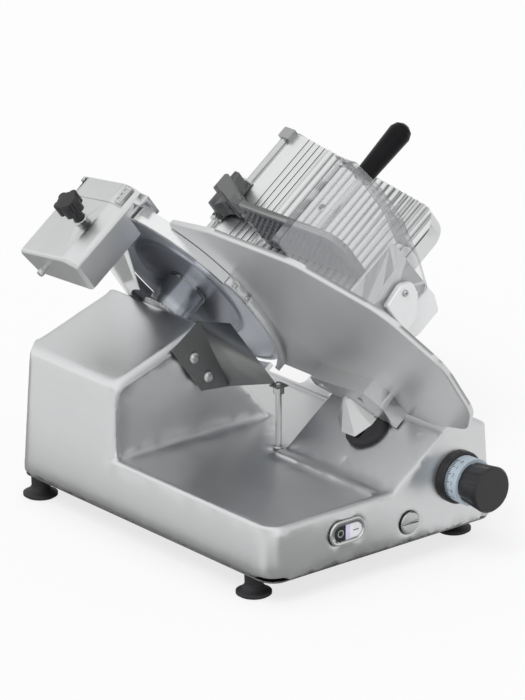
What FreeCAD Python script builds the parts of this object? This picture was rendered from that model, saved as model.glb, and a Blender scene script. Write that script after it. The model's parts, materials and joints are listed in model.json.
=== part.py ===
import FreeCAD, Part
import math
import os
from FreeCAD import Placement, Rotation, Vector

os.makedirs("parts", exist_ok=True)

# Gravity-feed meat slicer. Millimetres. The machine frame starts at the front left foot of the
# casting: X to the operator's right, Y away from the operator, Z up from the casting's underside.
# The blade frame leans with the blade: its x runs out of the blade towards the food, its y is the
# machine's Y, its z runs up the blade. Every piece is moved by one shift at the end, so that the
# origin lies under the middle of the whole machine, on the table top.

# ---- Driving dimensions -------------------------------------------------------------------

BASE_WIDTH, BASE_DEPTH, DECK_HEIGHT = 372.0, 510.0, 70.0
BASE_CORNER, WALL, DRAFT_DEG = 25.0, 6.0, 2.5
RIM_WIDTH, FLOOR_DROP = 12.0, 4.0
FOOT_HEIGHT, FOOT_RADIUS, FOOT_INSET_X, FOOT_INSET_Y = 34.0, 22.5, 22.0, 58.0
BOSS_RADIUS, STUD_RADIUS, STUD_TOP = 17.0, 4.0, 10.0
COVER_THICK = 2.0

BLADE_TILT_DEG = 36.8
BLADE_RADIUS, BLADE_DISH_RADIUS = 150.0, 88.0
BLADE_FROM_RIGHT, BLADE_FROM_BACK, BLADE_Z = 155.0, 94.0, 234.0
BLADE_X, BLADE_Y = BASE_WIDTH - BLADE_FROM_RIGHT, BASE_DEPTH - BLADE_FROM_BACK
BLADE_THICK, BLADE_DISH_DEPTH = 3.0, 3.5
HUB_RADIUS, SHAFT_RADIUS, TIE_RADIUS = 29.0, 12.0, 4.0
COLLAR_N = -62.0

TOWER_FRONT = BLADE_Y - 103.0
TOWER_SHOULDER_Z, TOWER_SHOULDER_RADIUS, TOWER_EDGE = 165.0, 40.0, 11.0
TOWER_ROOF_DEG = 19.0
RAMP_W, RAMP_START_N, RAMP_END_N, RAMP_DEPTH = -121.5, -112.0, -16.0, 210.0
BLOCK_TOP_Z, BLOCK_TOP_X, BLOCK_EDGE_Z = 142.0, BASE_WIDTH - 46.0, 120.0

RING_CLEAR, RING_WALL, RING_BACK_N, RING_FRONT_N = 2.5, 6.0, -22.0, -2.0
RING_START_DEG, RING_END_DEG = 28.6, 292.0

PLATE_THICK, PLATE_GAP = 8.0, 2.5
GAUGE_TRAVEL = 15.0

TABLE_N0, TABLE_N1, TABLE_W = 3.0, 292.0, -76.0
TABLE_Y0, TABLE_Y1 = BLADE_Y - 203.0, BLADE_Y + 121.0
TABLE_THICK, RIB_PITCH, RIB_HEIGHT, RIB_COUNT = 5.0, 14.0, 3.0, 18
GROOVE_PITCH, GROOVE_COUNT, GROOVE_DEPTH = 12.0, 4, 1.2
PANEL_THICK = 5.0
GUARD_THICK, GUARD_TOP_W, GUARD_N0, GUARD_N1 = 4.0, 113.0, 41.0, 198.0
GUARD_RETURN, GUARD_FLANGE = 26.0, 9.0

RAIL_RADIUS, RAIL_X, RAIL_Z = 9.0, BASE_WIDTH - 24.0, 36.0
RECESS_X, RECESS_Z0, RECESS_Z1, RECESS_END = RAIL_X - 22.0, 12.0, 60.0, 20.0

PUSHER_N, PUSHER_TRAVEL_DOWN, PUSHER_TRAVEL_UP = 128.0, 106.0, 75.0
PUSHER_ROD_Y, PUSHER_ROD_W, PUSHER_ROD_RADIUS = TABLE_Y1 + 12.5, -78.0, 6.0
PUSHER_PLATE_Y0, PUSHER_PLATE_Y1, PUSHER_PLATE_TOP = BLADE_Y - 178.0, BLADE_Y + 33.0, 7.0
PUSHER_HUB_LENGTH, PUSHER_HUB_RADIUS = 70.0, 11.0

SHARP_N0, SHARP_N1, SHARP_Y0, SHARP_Y1 = -122.0, 8.0, BLADE_Y - 18.0, BLADE_Y + 118.0
SHARP_W0, SHARP_W1, SHARP_WALL = BLADE_RADIUS - 20.0, BLADE_RADIUS + 26.0, 3.0
SHARP_LIFT = 16.0

SWITCH_X, SWITCH_Z, SWITCH_LENGTH, SWITCH_HEIGHT = 122.0, 41.0, 52.0, 27.0
PLUG_X, PLUG_Z, PLUG_RADIUS = 224.0, 26.0, 14.5
DIAL_X, DIAL_Z = BASE_WIDTH - 72.0, 70.0
DIAL_RING_RADIUS, DIAL_KNOB_RADIUS, DIAL_REACH = 34.0, 30.0, 68.0

GLAND_X, GLAND_Z = 90.0, 30.0
HUB_FACE_N, BLADE_BACK_N = -15.0, -9.5
COVER_RADIUS, COVER_FRONT_N = 112.0, -0.4
PULLEY_N, PULLEY_RADIUS, PINION_RADIUS = -104.0, 28.0, 7.0
MOTOR_OFFSET, MOTOR_RADIUS, MOTOR_BACK_N = 75.0, 43.0, -205.0
BRACKET_N, BRACKET_THICK = -124.0, 6.0
WEB_START_DEG, WEB_END_DEG = 98.0, 250.0
DEFLECTOR_THICK, DEFLECTOR_Y = 1.5, TOWER_FRONT - 4.0
PROP_X, PROP_Y, PROP_TOP = BLADE_X - 18.0, BLADE_Y - 194.0, 154.0

PLATE_LOW_W = -118.5
ARM_Y0, ARM_Y1, ARM_DEPTH = 71.0, 207.0, 22.0
BOOT_N, BOOT_Y, BOOT_RADIUS, BOOT_HEIGHT = -45.0, 113.0, 29.0, 8.0
STEM_W, STEM_RADIUS, GUIDE_RADIUS = -130.0, 5.0, 4.0
LAMP_WIDTH, KNOB_FLUTES = 7.0, 6
DIAL_BACK, DIAL_KNOB_Y = -2.0, -33.0
CAM_THROW, CAM_CLEAR = 6.0, 1.5
CAM_RADIUS = RECESS_X - WALL - DIAL_X - CAM_THROW - CAM_CLEAR
TABLE_SLANT, TABLE_RIM = 0.13, 25.0
ARM_N0, ARM_N1, ARM_BAR_Y, ARM_WIDTH, BLOCK_LENGTH = 150.0, 215.0, BLADE_Y - 16.0, 56.0, 80.0
LUG_N, LUG_W, LUG_THICK = 138.6, -98.8, 8.0
ROD_BLOCK_LENGTH, STOP_GAP = 16.0, 2.0
TOOTH_PITCH, BUSHING_RADIUS = 10.0, 8.0
PLATE_FACE_N, PUSHER_PLATE_THICK, PUSHER_PLATE_LEAN = 121.0, 9.0, 17.0
SEAT_Y, SEAT_W = PUSHER_PLATE_Y1 - 13.0, -12.0
GRIP_N0, GRIP_LENGTH, GRIP_RADIUS, GRIP_Y, GRIP_W = 222.0, 96.0, 15.5, BLADE_Y - 119.0, -6.0
KNOB_N, KNOB_Y, KNOB_SEAT_W = -59.0, BLADE_Y + 34.0, SHARP_W1 + 4.0
PIN_Y, PIN_W = BLADE_Y + 73.0, SHARP_W0 + 9.0
STEP_HEIGHT, LATCH_RISE, LATCH_THICK, LATCH_Y = 3.0, 4.5, 5.0, 12.0
LATCH_TOP_W = SHARP_W1 + STEP_HEIGHT + LATCH_RISE
POST_N, POST_Y, POST_RADIUS, POST_SEAT_W = -34.0, BLADE_Y + 40.0, 3.0, BLADE_RADIUS - 6.0
STONE_N, STONE_W, STONE_RADIUS = -96.0, SHARP_W0 + 10.0, 15.0
STRIP_BACK_N, STRIP_START_DEG, STRIP_END_DEG = -19.0, -48.0, RING_START_DEG - 0.6
STRIP_WALL, STRIP_SCREW_N, STRIP_SCREW_DEGS = 7.0, -13.5, (23.5, 15.0)

# Middle of the whole machine seen from above; its feet stand on the table top
MIDDLE_X, MIDDLE_Y = 253.5, 236.7
SHIFT = Vector(-MIDDLE_X, -MIDDLE_Y, FOOT_HEIGHT)

# Fits and gaps
BODY_GAP = 0.3
RUNNING = 0.05
BOLT_CLEAR = 0.4


# ---- Helpers ------------------------------------------------------------------------------

def box(x0, x1, y0, y1, z0, z1):
    return Part.makeBox(x1 - x0, y1 - y0, z1 - z0, Vector(x0, y0, z0))


def rod(start, end, radius):
    """A round bar from one point to another."""
    axis = Vector(*end) - Vector(*start)
    return Part.makeCylinder(radius, axis.Length, Vector(*start), axis)


def tube(start, end, outer, inner):
    return rod(start, end, outer).cut(rod(start, end, inner))


def cone(start, end, radius_start, radius_end):
    axis = Vector(*end) - Vector(*start)
    return Part.makeCone(radius_start, radius_end, axis.Length, Vector(*start), axis)


def rounded_wire(corners, place):
    """Closed wire through (u, v, radius) corners, each turned by an arc tangent to its sides."""
    points = [Vector(u, v, 0) for u, v, radius in corners]
    edges, ends = [], []
    for i, (u, v, radius) in enumerate(corners):
        here = points[i]
        back = (points[i - 1] - here).normalize()
        ahead = (points[(i + 1) % len(points)] - here).normalize()
        if radius <= 0:
            ends.append((here, here))
            continue
        half = back.getAngle(ahead) / 2
        reach = radius / math.tan(half)
        middle = here + (back + ahead).normalize() * (radius / math.sin(half) - radius)
        first, last = here + back * reach, here + ahead * reach
        edges.append(Part.Arc(place(first), place(middle), place(last)).toShape())
        ends.append((first, last))
    for i, (first, last) in enumerate(ends):
        following = ends[(i + 1) % len(ends)][0]
        if (following - last).Length > 1e-6:
            edges.append(Part.makeLine(place(last), place(following)))
    return Part.Wire(Part.__sortEdges__(edges))


def prism(corners, plane, start, end):
    """A rounded outline in the plane 'xy', 'xz' or 'yz', carried from start to end across it."""
    place = {"xy": lambda p: Vector(p.x, p.y, start),
             "xz": lambda p: Vector(p.x, start, p.y),
             "yz": lambda p: Vector(start, p.x, p.y)}[plane]
    along = {"xy": Vector(0, 0, 1), "xz": Vector(0, 1, 0), "yz": Vector(1, 0, 0)}[plane]
    return Part.Face(rounded_wire(corners, place)).extrude(along * (end - start))


def rectangle(u0, u1, v0, v1, radius):
    return [(u0, v0, radius), (u1, v0, radius), (u1, v1, radius), (u0, v1, radius)]


def turned(profile, centre, axis):
    """A solid of revolution. The profile lists (distance along the axis, radius)."""
    axis = Vector(*axis)
    side = Vector(1, 0, 0) if abs(axis.x) < 0.5 else Vector(0, 0, 1)
    points = [Vector(*centre) + axis * along + side * radius for along, radius in profile]
    face = Part.Face(Part.makePolygon(points + points[:1]))
    return face.revolve(Vector(*centre), axis, 360)


def sector(radius, start_deg, end_deg, x0, x1, reach=400.0):
    """A pie slice round the blade's centre, in the blade frame, angles up from the operator."""
    steps = max(2, int((end_deg - start_deg) / 45) + 1)
    angles = [start_deg + (end_deg - start_deg) * i / steps for i in range(steps + 1)]
    rim = [blade_point(reach, angle) for angle in angles]
    return prism([(BLADE_Y, 0.0, 0)] + [(y, w, 0) for y, w in rim], "yz", x0, x1)


def blade_point(radius, degrees):
    """The (y, w) place at a radius from the blade's centre; 0 degrees faces the operator."""
    angle = math.radians(degrees)
    return BLADE_Y - radius * math.cos(angle), radius * math.sin(angle)


TILT = Placement(Vector(BLADE_X, 0, BLADE_Z), Rotation(Vector(0, 1, 0), -BLADE_TILT_DEG))


def tilted(shape):
    """Moves a shape from the blade frame to the machine frame."""
    moved = shape.copy()
    moved.Placement = TILT.multiply(moved.Placement)
    return moved


def edges_where(shape, test):
    return [edge for edge in shape.Edges if test(edge)]


def edge_middle(edge):
    return edge.valueAt((edge.FirstParameter + edge.LastParameter) / 2)


def fuse(first, *others):
    return first.multiFuse(list(others)).removeSplitter()


def cut(first, *tools):
    return first.cut(Part.Compound(list(tools)))


PARTS = {}


def add(name, shape):
    PARTS[name] = shape


# ---- Base casting ---------------------------------------------------------------------------

def tilt_xz(n, w):
    """The machine X and Z of a point in the blade frame."""
    point = TILT.multVec(Vector(n, 0, w))
    return point.x, point.z


def drafted_block(inset, height):
    """The outer walls: a rounded rectangle that leans in with height."""
    wires = []
    for z in (0.0, height):
        lean = inset + z * math.tan(math.radians(DRAFT_DEG))
        corners = rectangle(lean, BASE_WIDTH - lean, lean, BASE_DEPTH - lean,
                            max(BASE_CORNER - inset, 4.0))
        wires.append(rounded_wire(corners, lambda p, z=z: Vector(p.x, p.y, z)))
    return Part.makeLoft(wires, True, True)


def tower_profile(inset):
    """Motor tower seen from the front: shoulder, rising roof, then the face behind the blade."""
    roof = math.radians(TOWER_ROOF_DEG)
    collar = COLLAR_N - inset
    shoulder = Vector(0, TOWER_SHOULDER_Z, 0)
    lean = Vector(math.cos(roof), math.sin(roof), 0)
    down = Vector(math.sin(roof), -math.cos(roof), 0) * inset
    on_roof = shoulder + down
    foot_x, foot_z = tilt_xz(collar, 0)
    tilt = math.radians(BLADE_TILT_DEG)
    face = Vector(-math.sin(tilt), math.cos(tilt), 0)
    across = lean.x * face.y - lean.y * face.x
    gap = Vector(foot_x, foot_z, 0) - on_roof
    along = (gap.x * face.y - gap.y * face.x) / across
    peak = on_roof + lean * along
    below_x = foot_x + math.tan(tilt) * foot_z
    left = inset - 5.0 * (inset == 0)
    top_left = on_roof + lean * ((left - on_roof.x) / lean.x)
    round_off = max(TOWER_SHOULDER_RADIUS - inset, 4.0)
    return [(left, 0.0, 0), (below_x, 0.0, 0), (peak.x, peak.y, 8.0),
            (top_left.x, top_left.y, round_off)]


def block_profile(inset):
    """Front right block: ramp under the gauge plate, crest, and the side that falls away."""
    ramp_x, ramp_z = tilt_xz(RAMP_START_N, RAMP_W - inset)
    end_x, end_z = tilt_xz(RAMP_END_N, RAMP_W - inset)
    right = BASE_WIDTH + 5.0 - inset
    return [(ramp_x - 20.0, 0.0, 0), (right, 0.0, 0), (right, BLOCK_EDGE_Z - inset, 0),
            (BASE_WIDTH - 8.0 - inset, BLOCK_EDGE_Z - inset, 12.0),
            (BLOCK_TOP_X, BLOCK_TOP_Z - inset, 16.0), (end_x, end_z, 14.0),
            (ramp_x, ramp_z, 0), (ramp_x - 20.0, ramp_z, 0)]


def deck_form():
    """Low deck with a rounded rim and a sunk floor."""
    deck = drafted_block(0.0, DECK_HEIGHT)
    top = edges_where(deck, lambda e: abs(e.BoundBox.ZMin - DECK_HEIGHT) < 0.01)
    deck = deck.makeFillet(5.0, top)
    floor_z = DECK_HEIGHT - FLOOR_DROP
    rim = RIM_WIDTH
    collar_x = tilt_xz(COLLAR_N, 0)[0] + math.tan(math.radians(BLADE_TILT_DEG)) * BLADE_Z
    pocket = prism([(rim, rim, 18.0), (BASE_WIDTH - rim, rim, 18.0),
                    (BASE_WIDTH - rim, BASE_DEPTH - rim, 18.0),
                    (collar_x - 90.0, BASE_DEPTH - rim, 4.0),
                    (collar_x - 90.0, TOWER_FRONT + 20.0, 4.0), (rim, TOWER_FRONT + 20.0, 4.0)],
                   "xy", floor_z, DECK_HEIGHT + 10.0)
    floor = edges_where(pocket, lambda e: abs(e.BoundBox.ZMax - floor_z) < 0.01)
    return deck.cut(pocket.makeFillet(3.5, floor))


def tower_form():
    """The tower with rounded outer edges and a front wall sunk inside a raised border."""
    tower = prism(tower_profile(0.0), "xz", TOWER_FRONT, BASE_DEPTH + 10.0)
    tower = tower.common(drafted_block(0.0, 300.0))
    front = edges_where(tower, lambda e: e.BoundBox.YMax < TOWER_FRONT + 0.1
                        and edge_middle(e).z > DECK_HEIGHT
                        and edge_middle(e).x < tilt_xz(COLLAR_N, 0)[0] - 25.0)
    tower = tower.makeFillet(TOWER_EDGE, front)
    roof = tower_profile(RIM_WIDTH)
    sunk = [(roof[0][0], DECK_HEIGHT - FLOOR_DROP, 0), (BASE_WIDTH, DECK_HEIGHT - FLOOR_DROP, 0),
            (BASE_WIDTH, roof[2][1], 0), (roof[2][0], roof[2][1], 0), roof[3]]
    hollow = prism(sunk, "xz", TOWER_FRONT - 20.0, TOWER_FRONT + FLOOR_DROP)
    return tower.cut(hollow)


def block_form():
    block = prism(block_profile(0.0), "xz", -10.0, RAMP_DEPTH)
    block = block.common(drafted_block(0.0, 300.0))
    front = edges_where(block, lambda e: edge_middle(e).y < 12.0
                        and edge_middle(e).z > DECK_HEIGHT + 6.0)
    block = block.makeFillet(4.0, front)
    back = edges_where(block, lambda e: e.BoundBox.YMin > RAMP_DEPTH - 0.1
                       and edge_middle(e).z > DECK_HEIGHT + 6.0)
    return block.makeFillet(4.0, back)


def casting_cavity():
    """The inside of the casting, one wall in from the outside and open below."""
    deck = drafted_block(WALL, DECK_HEIGHT - FLOOR_DROP - WALL)
    tower = prism(tower_profile(WALL), "xz", TOWER_FRONT + FLOOR_DROP + WALL, BASE_DEPTH)
    block = prism(block_profile(WALL), "xz", 0.0, RAMP_DEPTH - WALL)
    inner = fuse(deck, tower.common(drafted_block(WALL, 300.0)),
                 block.common(drafted_block(WALL, 300.0)))
    keep = box(RECESS_X - WALL, BASE_WIDTH, 0, BASE_DEPTH, 0.0, RECESS_Z1 + WALL)
    return inner.cut(keep)


def screw_bosses():
    """Posts inside the corners that take the foot studs."""
    top = DECK_HEIGHT - FLOOR_DROP - 1.0
    return [rod((x, y, 0), (x, y, top), BOSS_RADIUS) for x, y in foot_places()]


def foot_places():
    near_x, far_x = FOOT_INSET_X, BASE_WIDTH - FOOT_INSET_X
    near_y, far_y = FOOT_INSET_Y, BASE_DEPTH - FOOT_INSET_X
    return [(near_x, near_y), (far_x, near_y), (near_x, far_y), (far_x, far_y)]


def front_pads():
    """Flat seats on the sloping front wall for the switch, the plug and the dial."""
    switch = prism(rectangle(SWITCH_X - SWITCH_LENGTH / 2 - 5, SWITCH_X + SWITCH_LENGTH / 2 + 5,
                             SWITCH_Z - SWITCH_HEIGHT / 2 - 5, SWITCH_Z + SWITCH_HEIGHT / 2 + 5,
                             SWITCH_HEIGHT / 2 + 4), "xz", 0.0, WALL)
    plug = rod((PLUG_X, 0.0, PLUG_Z), (PLUG_X, WALL, PLUG_Z), PLUG_RADIUS + 3.0)
    dial = cone((DIAL_X, -2.0, DIAL_Z), (DIAL_X, 6.0, DIAL_Z), DIAL_RING_RADIUS + 4.0,
                DIAL_RING_RADIUS + 16.0)
    return [switch, plug, dial]


def front_holes():
    switch = prism(rectangle(SWITCH_X - SWITCH_LENGTH / 2, SWITCH_X + SWITCH_LENGTH / 2,
                             SWITCH_Z - SWITCH_HEIGHT / 2, SWITCH_Z + SWITCH_HEIGHT / 2,
                             SWITCH_HEIGHT / 2 - 0.1), "xz", -10.0, 20.0)
    plug = rod((PLUG_X, -10.0, PLUG_Z), (PLUG_X, 20.0, PLUG_Z), PLUG_RADIUS - 3.5)
    dial = rod((DIAL_X, -20.0, DIAL_Z), (DIAL_X, 20.0, DIAL_Z), 7.0)
    return [switch, plug, dial]


def base_casting():
    body = fuse(deck_form(), tower_form(), block_form())
    body = fuse(body, *front_pads())
    body = body.cut(casting_cavity())
    seats = [rod((x, DEFLECTOR_Y, z), (x, TOWER_FRONT + FLOOR_DROP + WALL, z), 10.0)
             for x, z in deflector_screw_places()]
    body = fuse(body, *screw_bosses(), *seats)
    recess = box(RECESS_X, BASE_WIDTH + 10, RECESS_END, BASE_DEPTH - RECESS_END,
                 RECESS_Z0, RECESS_Z1)
    rail_holes = rod((RAIL_X, 8.5, RAIL_Z), (RAIL_X, BASE_DEPTH - 8.5, RAIL_Z), RAIL_RADIUS)
    neck = tilted(rod((COLLAR_N - 20, BLADE_Y, 0), (COLLAR_N + 5, BLADE_Y, 0), SHAFT_RADIUS + 4))
    studs = [rod((x, y, -1), (x, y, STUD_TOP + 0.5), STUD_RADIUS) for x, y in foot_places()]
    bolts = [rod((x, TOWER_FRONT - 9, z), (x, TOWER_FRONT + 9, z), 4.0)
             for x, z in deflector_screw_places()]
    gland = rod((GLAND_X, BASE_DEPTH - 20, GLAND_Z), (GLAND_X, BASE_DEPTH + 5, GLAND_Z), 8.0)
    prop = rod((PROP_X, PROP_Y, DECK_HEIGHT - FLOOR_DROP - 5), (PROP_X, PROP_Y, DECK_HEIGHT), 4.0)
    return cut(body, recess, rail_holes, neck, gland, prop, tilted(stem_slot()), *studs,
               *bolts, *front_holes())



# ---- Underside ------------------------------------------------------------------------------

def bottom_cover():
    """Sheet that closes the casting from below, with holes for the foot studs and screws."""
    inset = WALL / 2
    plate = prism(rectangle(inset, BASE_WIDTH - inset, inset, BASE_DEPTH - inset,
                            BASE_CORNER - inset), "xy", -COVER_THICK, 0.0)
    holes = [rod((x, y, -5), (x, y, 1), STUD_RADIUS + BOLT_CLEAR) for x, y in foot_places()]
    return cut(plate, *holes)


def foot(x, y):
    """Rubber foot: a waisted stem on a wide dish."""
    top, bottom = -COVER_THICK, -FOOT_HEIGHT
    dish = bottom + 9.0
    profile = [(bottom, 0.0), (bottom, FOOT_RADIUS - 3), (bottom + 2, FOOT_RADIUS),
               (bottom + 5, FOOT_RADIUS), (dish, FOOT_RADIUS - 7), (dish + 5, FOOT_RADIUS - 11),
               (top - 3, FOOT_RADIUS - 10.5), (top, FOOT_RADIUS - 10.5), (top, STUD_RADIUS),
               (dish, STUD_RADIUS), (dish, 0.0)]
    return turned(profile, (x, y, 0), (0, 0, 1))


def foot_studs():
    depth = -FOOT_HEIGHT + 9.0
    return Part.Compound([rod((x, y, depth), (x, y, STUD_TOP), STUD_RADIUS)
                          for x, y in foot_places()])


def underside():
    add("bottom_cover", bottom_cover())
    names = ("front_left", "front_right", "rear_left", "rear_right")
    for name, (x, y) in zip(names, foot_places()):
        add("foot_" + name, foot(x, y))
    add("foot_studs", foot_studs())
    gland = turned([(-16, 0.0), (-16, 7.7), (8, 7.7), (8, 11.0), (11, 11.0), (22, 8.0), (22, 4.5),
                    (10, 4.5), (10, 0.0)], (GLAND_X, BASE_DEPTH - 6, GLAND_Z), (0, 1, 0))
    add("cable_gland", gland)


# ---- Drive ----------------------------------------------------------------------------------

def spindle_housing():
    """Bearing tube that stands out of the tower's face and carries the blade shaft."""
    outer = rod((COLLAR_N, BLADE_Y, 0), (HUB_FACE_N, BLADE_Y, 0), HUB_RADIUS)
    spigot = rod((COLLAR_N - 10, BLADE_Y, 0), (COLLAR_N, BLADE_Y, 0), SHAFT_RADIUS + 4)
    flange = rod((COLLAR_N, BLADE_Y, 0), (COLLAR_N + 4, BLADE_Y, 0), HUB_RADIUS + 4)
    bore = rod((COLLAR_N - 20, BLADE_Y, 0), (0, BLADE_Y, 0), SHAFT_RADIUS + RUNNING)
    return tilted(cut(fuse(outer, spigot, flange), bore))


def blade_shaft():
    """Hollow shaft with a flange that the blade is screwed to."""
    flange_back = HUB_FACE_N + BODY_GAP
    shaft = rod((PULLEY_N - 10, BLADE_Y, 0), (BLADE_BACK_N, BLADE_Y, 0), SHAFT_RADIUS)
    flange = rod((flange_back, BLADE_Y, 0), (BLADE_BACK_N, BLADE_Y, 0), HUB_RADIUS)
    pilot = rod((BLADE_BACK_N, BLADE_Y, 0), (BLADE_BACK_N + BLADE_THICK, BLADE_Y, 0), 15.0)
    bore = rod((PULLEY_N - 20, BLADE_Y, 0), (10, BLADE_Y, 0), TIE_RADIUS + 1.0)
    holes = [rod((flange_back - 1, y, w), (0, y, w), 2.0) for y, w in blade_screw_places()]
    return tilted(cut(fuse(shaft, flange, pilot), bore, *holes))


def blade_screw_places():
    return [blade_point(22.0, 45 + 120 * i) for i in range(3)]


def blade():
    """Dished round knife: ground edge, flat ring, and a sunk middle."""
    back, thick = BLADE_BACK_N, BLADE_THICK
    step = BLADE_DISH_RADIUS
    ring = back + BLADE_DISH_DEPTH
    profile = [(back, 15.0), (back, step - 4), (ring, step + 4), (ring, BLADE_RADIUS - 14),
               (-0.3, BLADE_RADIUS), (0.0, BLADE_RADIUS), (ring + thick - 0.5, BLADE_RADIUS - 13),
               (ring + thick - 0.5, step + 7), (back + thick, step), (back + thick, 15.0)]
    body = turned(profile, (0, BLADE_Y, 0), (1, 0, 0))
    holes = [rod((back - 1, y, w), (5, y, w), 2.0) for y, w in blade_screw_places()]
    return tilted(cut(body, *holes))


def blade_screws():
    top = BLADE_BACK_N + BLADE_THICK
    screws = []
    for y, w in blade_screw_places():
        shank = rod((HUB_FACE_N + 1.0, y, w), (top, y, w), 2.0)
        screws.append(tilted(fuse(shank, rod((top, y, w), (top + 2.0, y, w), 4.0))))
    return Part.Compound(screws)


def blade_cover():
    """Fixed plate that fills the blade's dish on the food side."""
    front = COVER_FRONT_N
    profile = [(front - 2.2, 4.5), (front - 2.2, COVER_RADIUS - 3), (front - 1.2, COVER_RADIUS),
               (front, COVER_RADIUS - 1.5), (front + 0.4, 40.0), (front + 0.4, 4.5)]
    stem = tube((BLADE_BACK_N + BLADE_THICK + BODY_GAP, BLADE_Y, 0), (front, BLADE_Y, 0), 10.0, 4.5)
    return tilted(fuse(turned(profile, (0, BLADE_Y, 0), (1, 0, 0)), stem))


def cover_screw():
    """Tie screw through the hollow shaft; a slotted head holds the blade cover."""
    top = COVER_FRONT_N + 0.4
    start = BRACKET_N + BRACKET_THICK / 2
    tie = rod((start, BLADE_Y, 0), (top, BLADE_Y, 0), TIE_RADIUS)
    head = rod((top, BLADE_Y, 0), (top + 1.1, BLADE_Y, 0), 9.0)
    slot = box(top + 0.3, top + 5, BLADE_Y - 1, BLADE_Y + 1, -12, 12)
    return tilted(fuse(tie, head).cut(slot))


def blade_pulley():
    """Pulley keyed to the blade shaft, with five lightening holes."""
    n0, n1 = PULLEY_N - 6, PULLEY_N + 6
    wheel = tube((n0, BLADE_Y, 0), (n1, BLADE_Y, 0), PULLEY_RADIUS, SHAFT_RADIUS)
    holes = []
    for i in range(5):
        y, w = blade_point(24.0, 72 * i)
        holes.append(rod((n0 - 1, y, w), (n1 + 1, y, w), 5.5))
    return tilted(cut(wheel, *holes))


def motor_rotor():
    """Motor shaft, laminated core and the small pulley."""
    w = -MOTOR_OFFSET
    shaft = rod((MOTOR_BACK_N + 8, BLADE_Y, w), (PULLEY_N + 8, BLADE_Y, w), 5.0)
    core = rod((MOTOR_BACK_N + 18, BLADE_Y, w), (BRACKET_N - 18, BLADE_Y, w), 22.0)
    pulley = rod((PULLEY_N - 6, BLADE_Y, w), (PULLEY_N + 6, BLADE_Y, w), PINION_RADIUS)
    return tilted(fuse(shaft, core, pulley))


def motor_stator():
    """Round motor shell with end walls that hold the shaft, and cooling ribs."""
    w = -MOTOR_OFFSET
    n0, n1 = MOTOR_BACK_N, BRACKET_N
    shell = tube((n0, BLADE_Y, w), (n1, BLADE_Y, w), MOTOR_RADIUS - 3, MOTOR_RADIUS - 18)
    ribs = [tube((n, BLADE_Y, w), (n + 3, BLADE_Y, w), MOTOR_RADIUS, MOTOR_RADIUS - 4)
            for n in (n0 + 8, n0 + 20, n0 + 32, n0 + 44, n0 + 56)]
    ends = [tube((n, BLADE_Y, w), (n + 6, BLADE_Y, w), MOTOR_RADIUS - 3, 5.0 + RUNNING)
            for n in (n0 + 4, n1 - 6)]
    return tilted(fuse(shell, *ribs, *ends))


def drive_bracket():
    """Plate on four posts behind the tower's face; it carries the motor and the tie screw."""
    n0, n1 = BRACKET_N, BRACKET_N + BRACKET_THICK
    half, low, high = 34.0, -MOTOR_OFFSET - MOTOR_RADIUS + 8, 24.0
    plate = prism(rectangle(BLADE_Y - half, BLADE_Y + half, low, high, 8.0), "yz", n0, n1)
    posts = [rod((n1, y, w), (COLLAR_N - WALL, y, w), 5.0)
             for y in (BLADE_Y - half + 7, BLADE_Y + half - 7) for w in (low + 7, -48.0)]
    bore = rod((n0 - 1, BLADE_Y, -MOTOR_OFFSET), (n1 + 1, BLADE_Y, -MOTOR_OFFSET), 12.0)
    tie = rod((n0 - 1, BLADE_Y, 0), (n1 + 1, BLADE_Y, 0), TIE_RADIUS)
    return tilted(cut(fuse(plate, *posts), bore, tie))


def drive_belt():
    """Flat belt round both pulleys: two arcs joined by their common tangents."""
    def loop(extra):
        big, small = PULLEY_RADIUS + extra, PINION_RADIUS + extra
        swing = math.asin((big - small) / MOTOR_OFFSET)
        c, s = math.cos(swing), math.sin(swing)
        place = lambda y, w: Vector(PULLEY_N - 5, BLADE_Y + y, w)
        upper = Part.Arc(place(big * c, -big * s), place(0, big), place(-big * c, -big * s))
        low = -MOTOR_OFFSET
        lower = Part.Arc(place(-small * c, low - small * s), place(0, low - small),
                         place(small * c, low - small * s))
        sides = [Part.makeLine(place(-big * c, -big * s), place(-small * c, low - small * s)),
                 Part.makeLine(place(small * c, low - small * s), place(big * c, -big * s))]
        wire = Part.Wire([upper.toShape(), sides[0], lower.toShape(), sides[1]])
        return Part.Face(wire).extrude(Vector(10, 0, 0))
    return tilted(loop(BODY_GAP + 2.0).cut(loop(BODY_GAP)))


def drive():
    add("spindle_housing", spindle_housing())
    add("blade_shaft", blade_shaft())
    add("blade", blade())
    add("blade_screws", blade_screws())
    add("blade_cover", blade_cover())
    add("cover_screw", cover_screw())
    add("blade_pulley", blade_pulley())
    add("motor_rotor", motor_rotor())
    add("motor_stator", motor_stator())
    add("drive_bracket", drive_bracket())
    add("drive_belt", drive_belt())


# ---- Ring guard, deflector and support rod --------------------------------------------------

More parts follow.
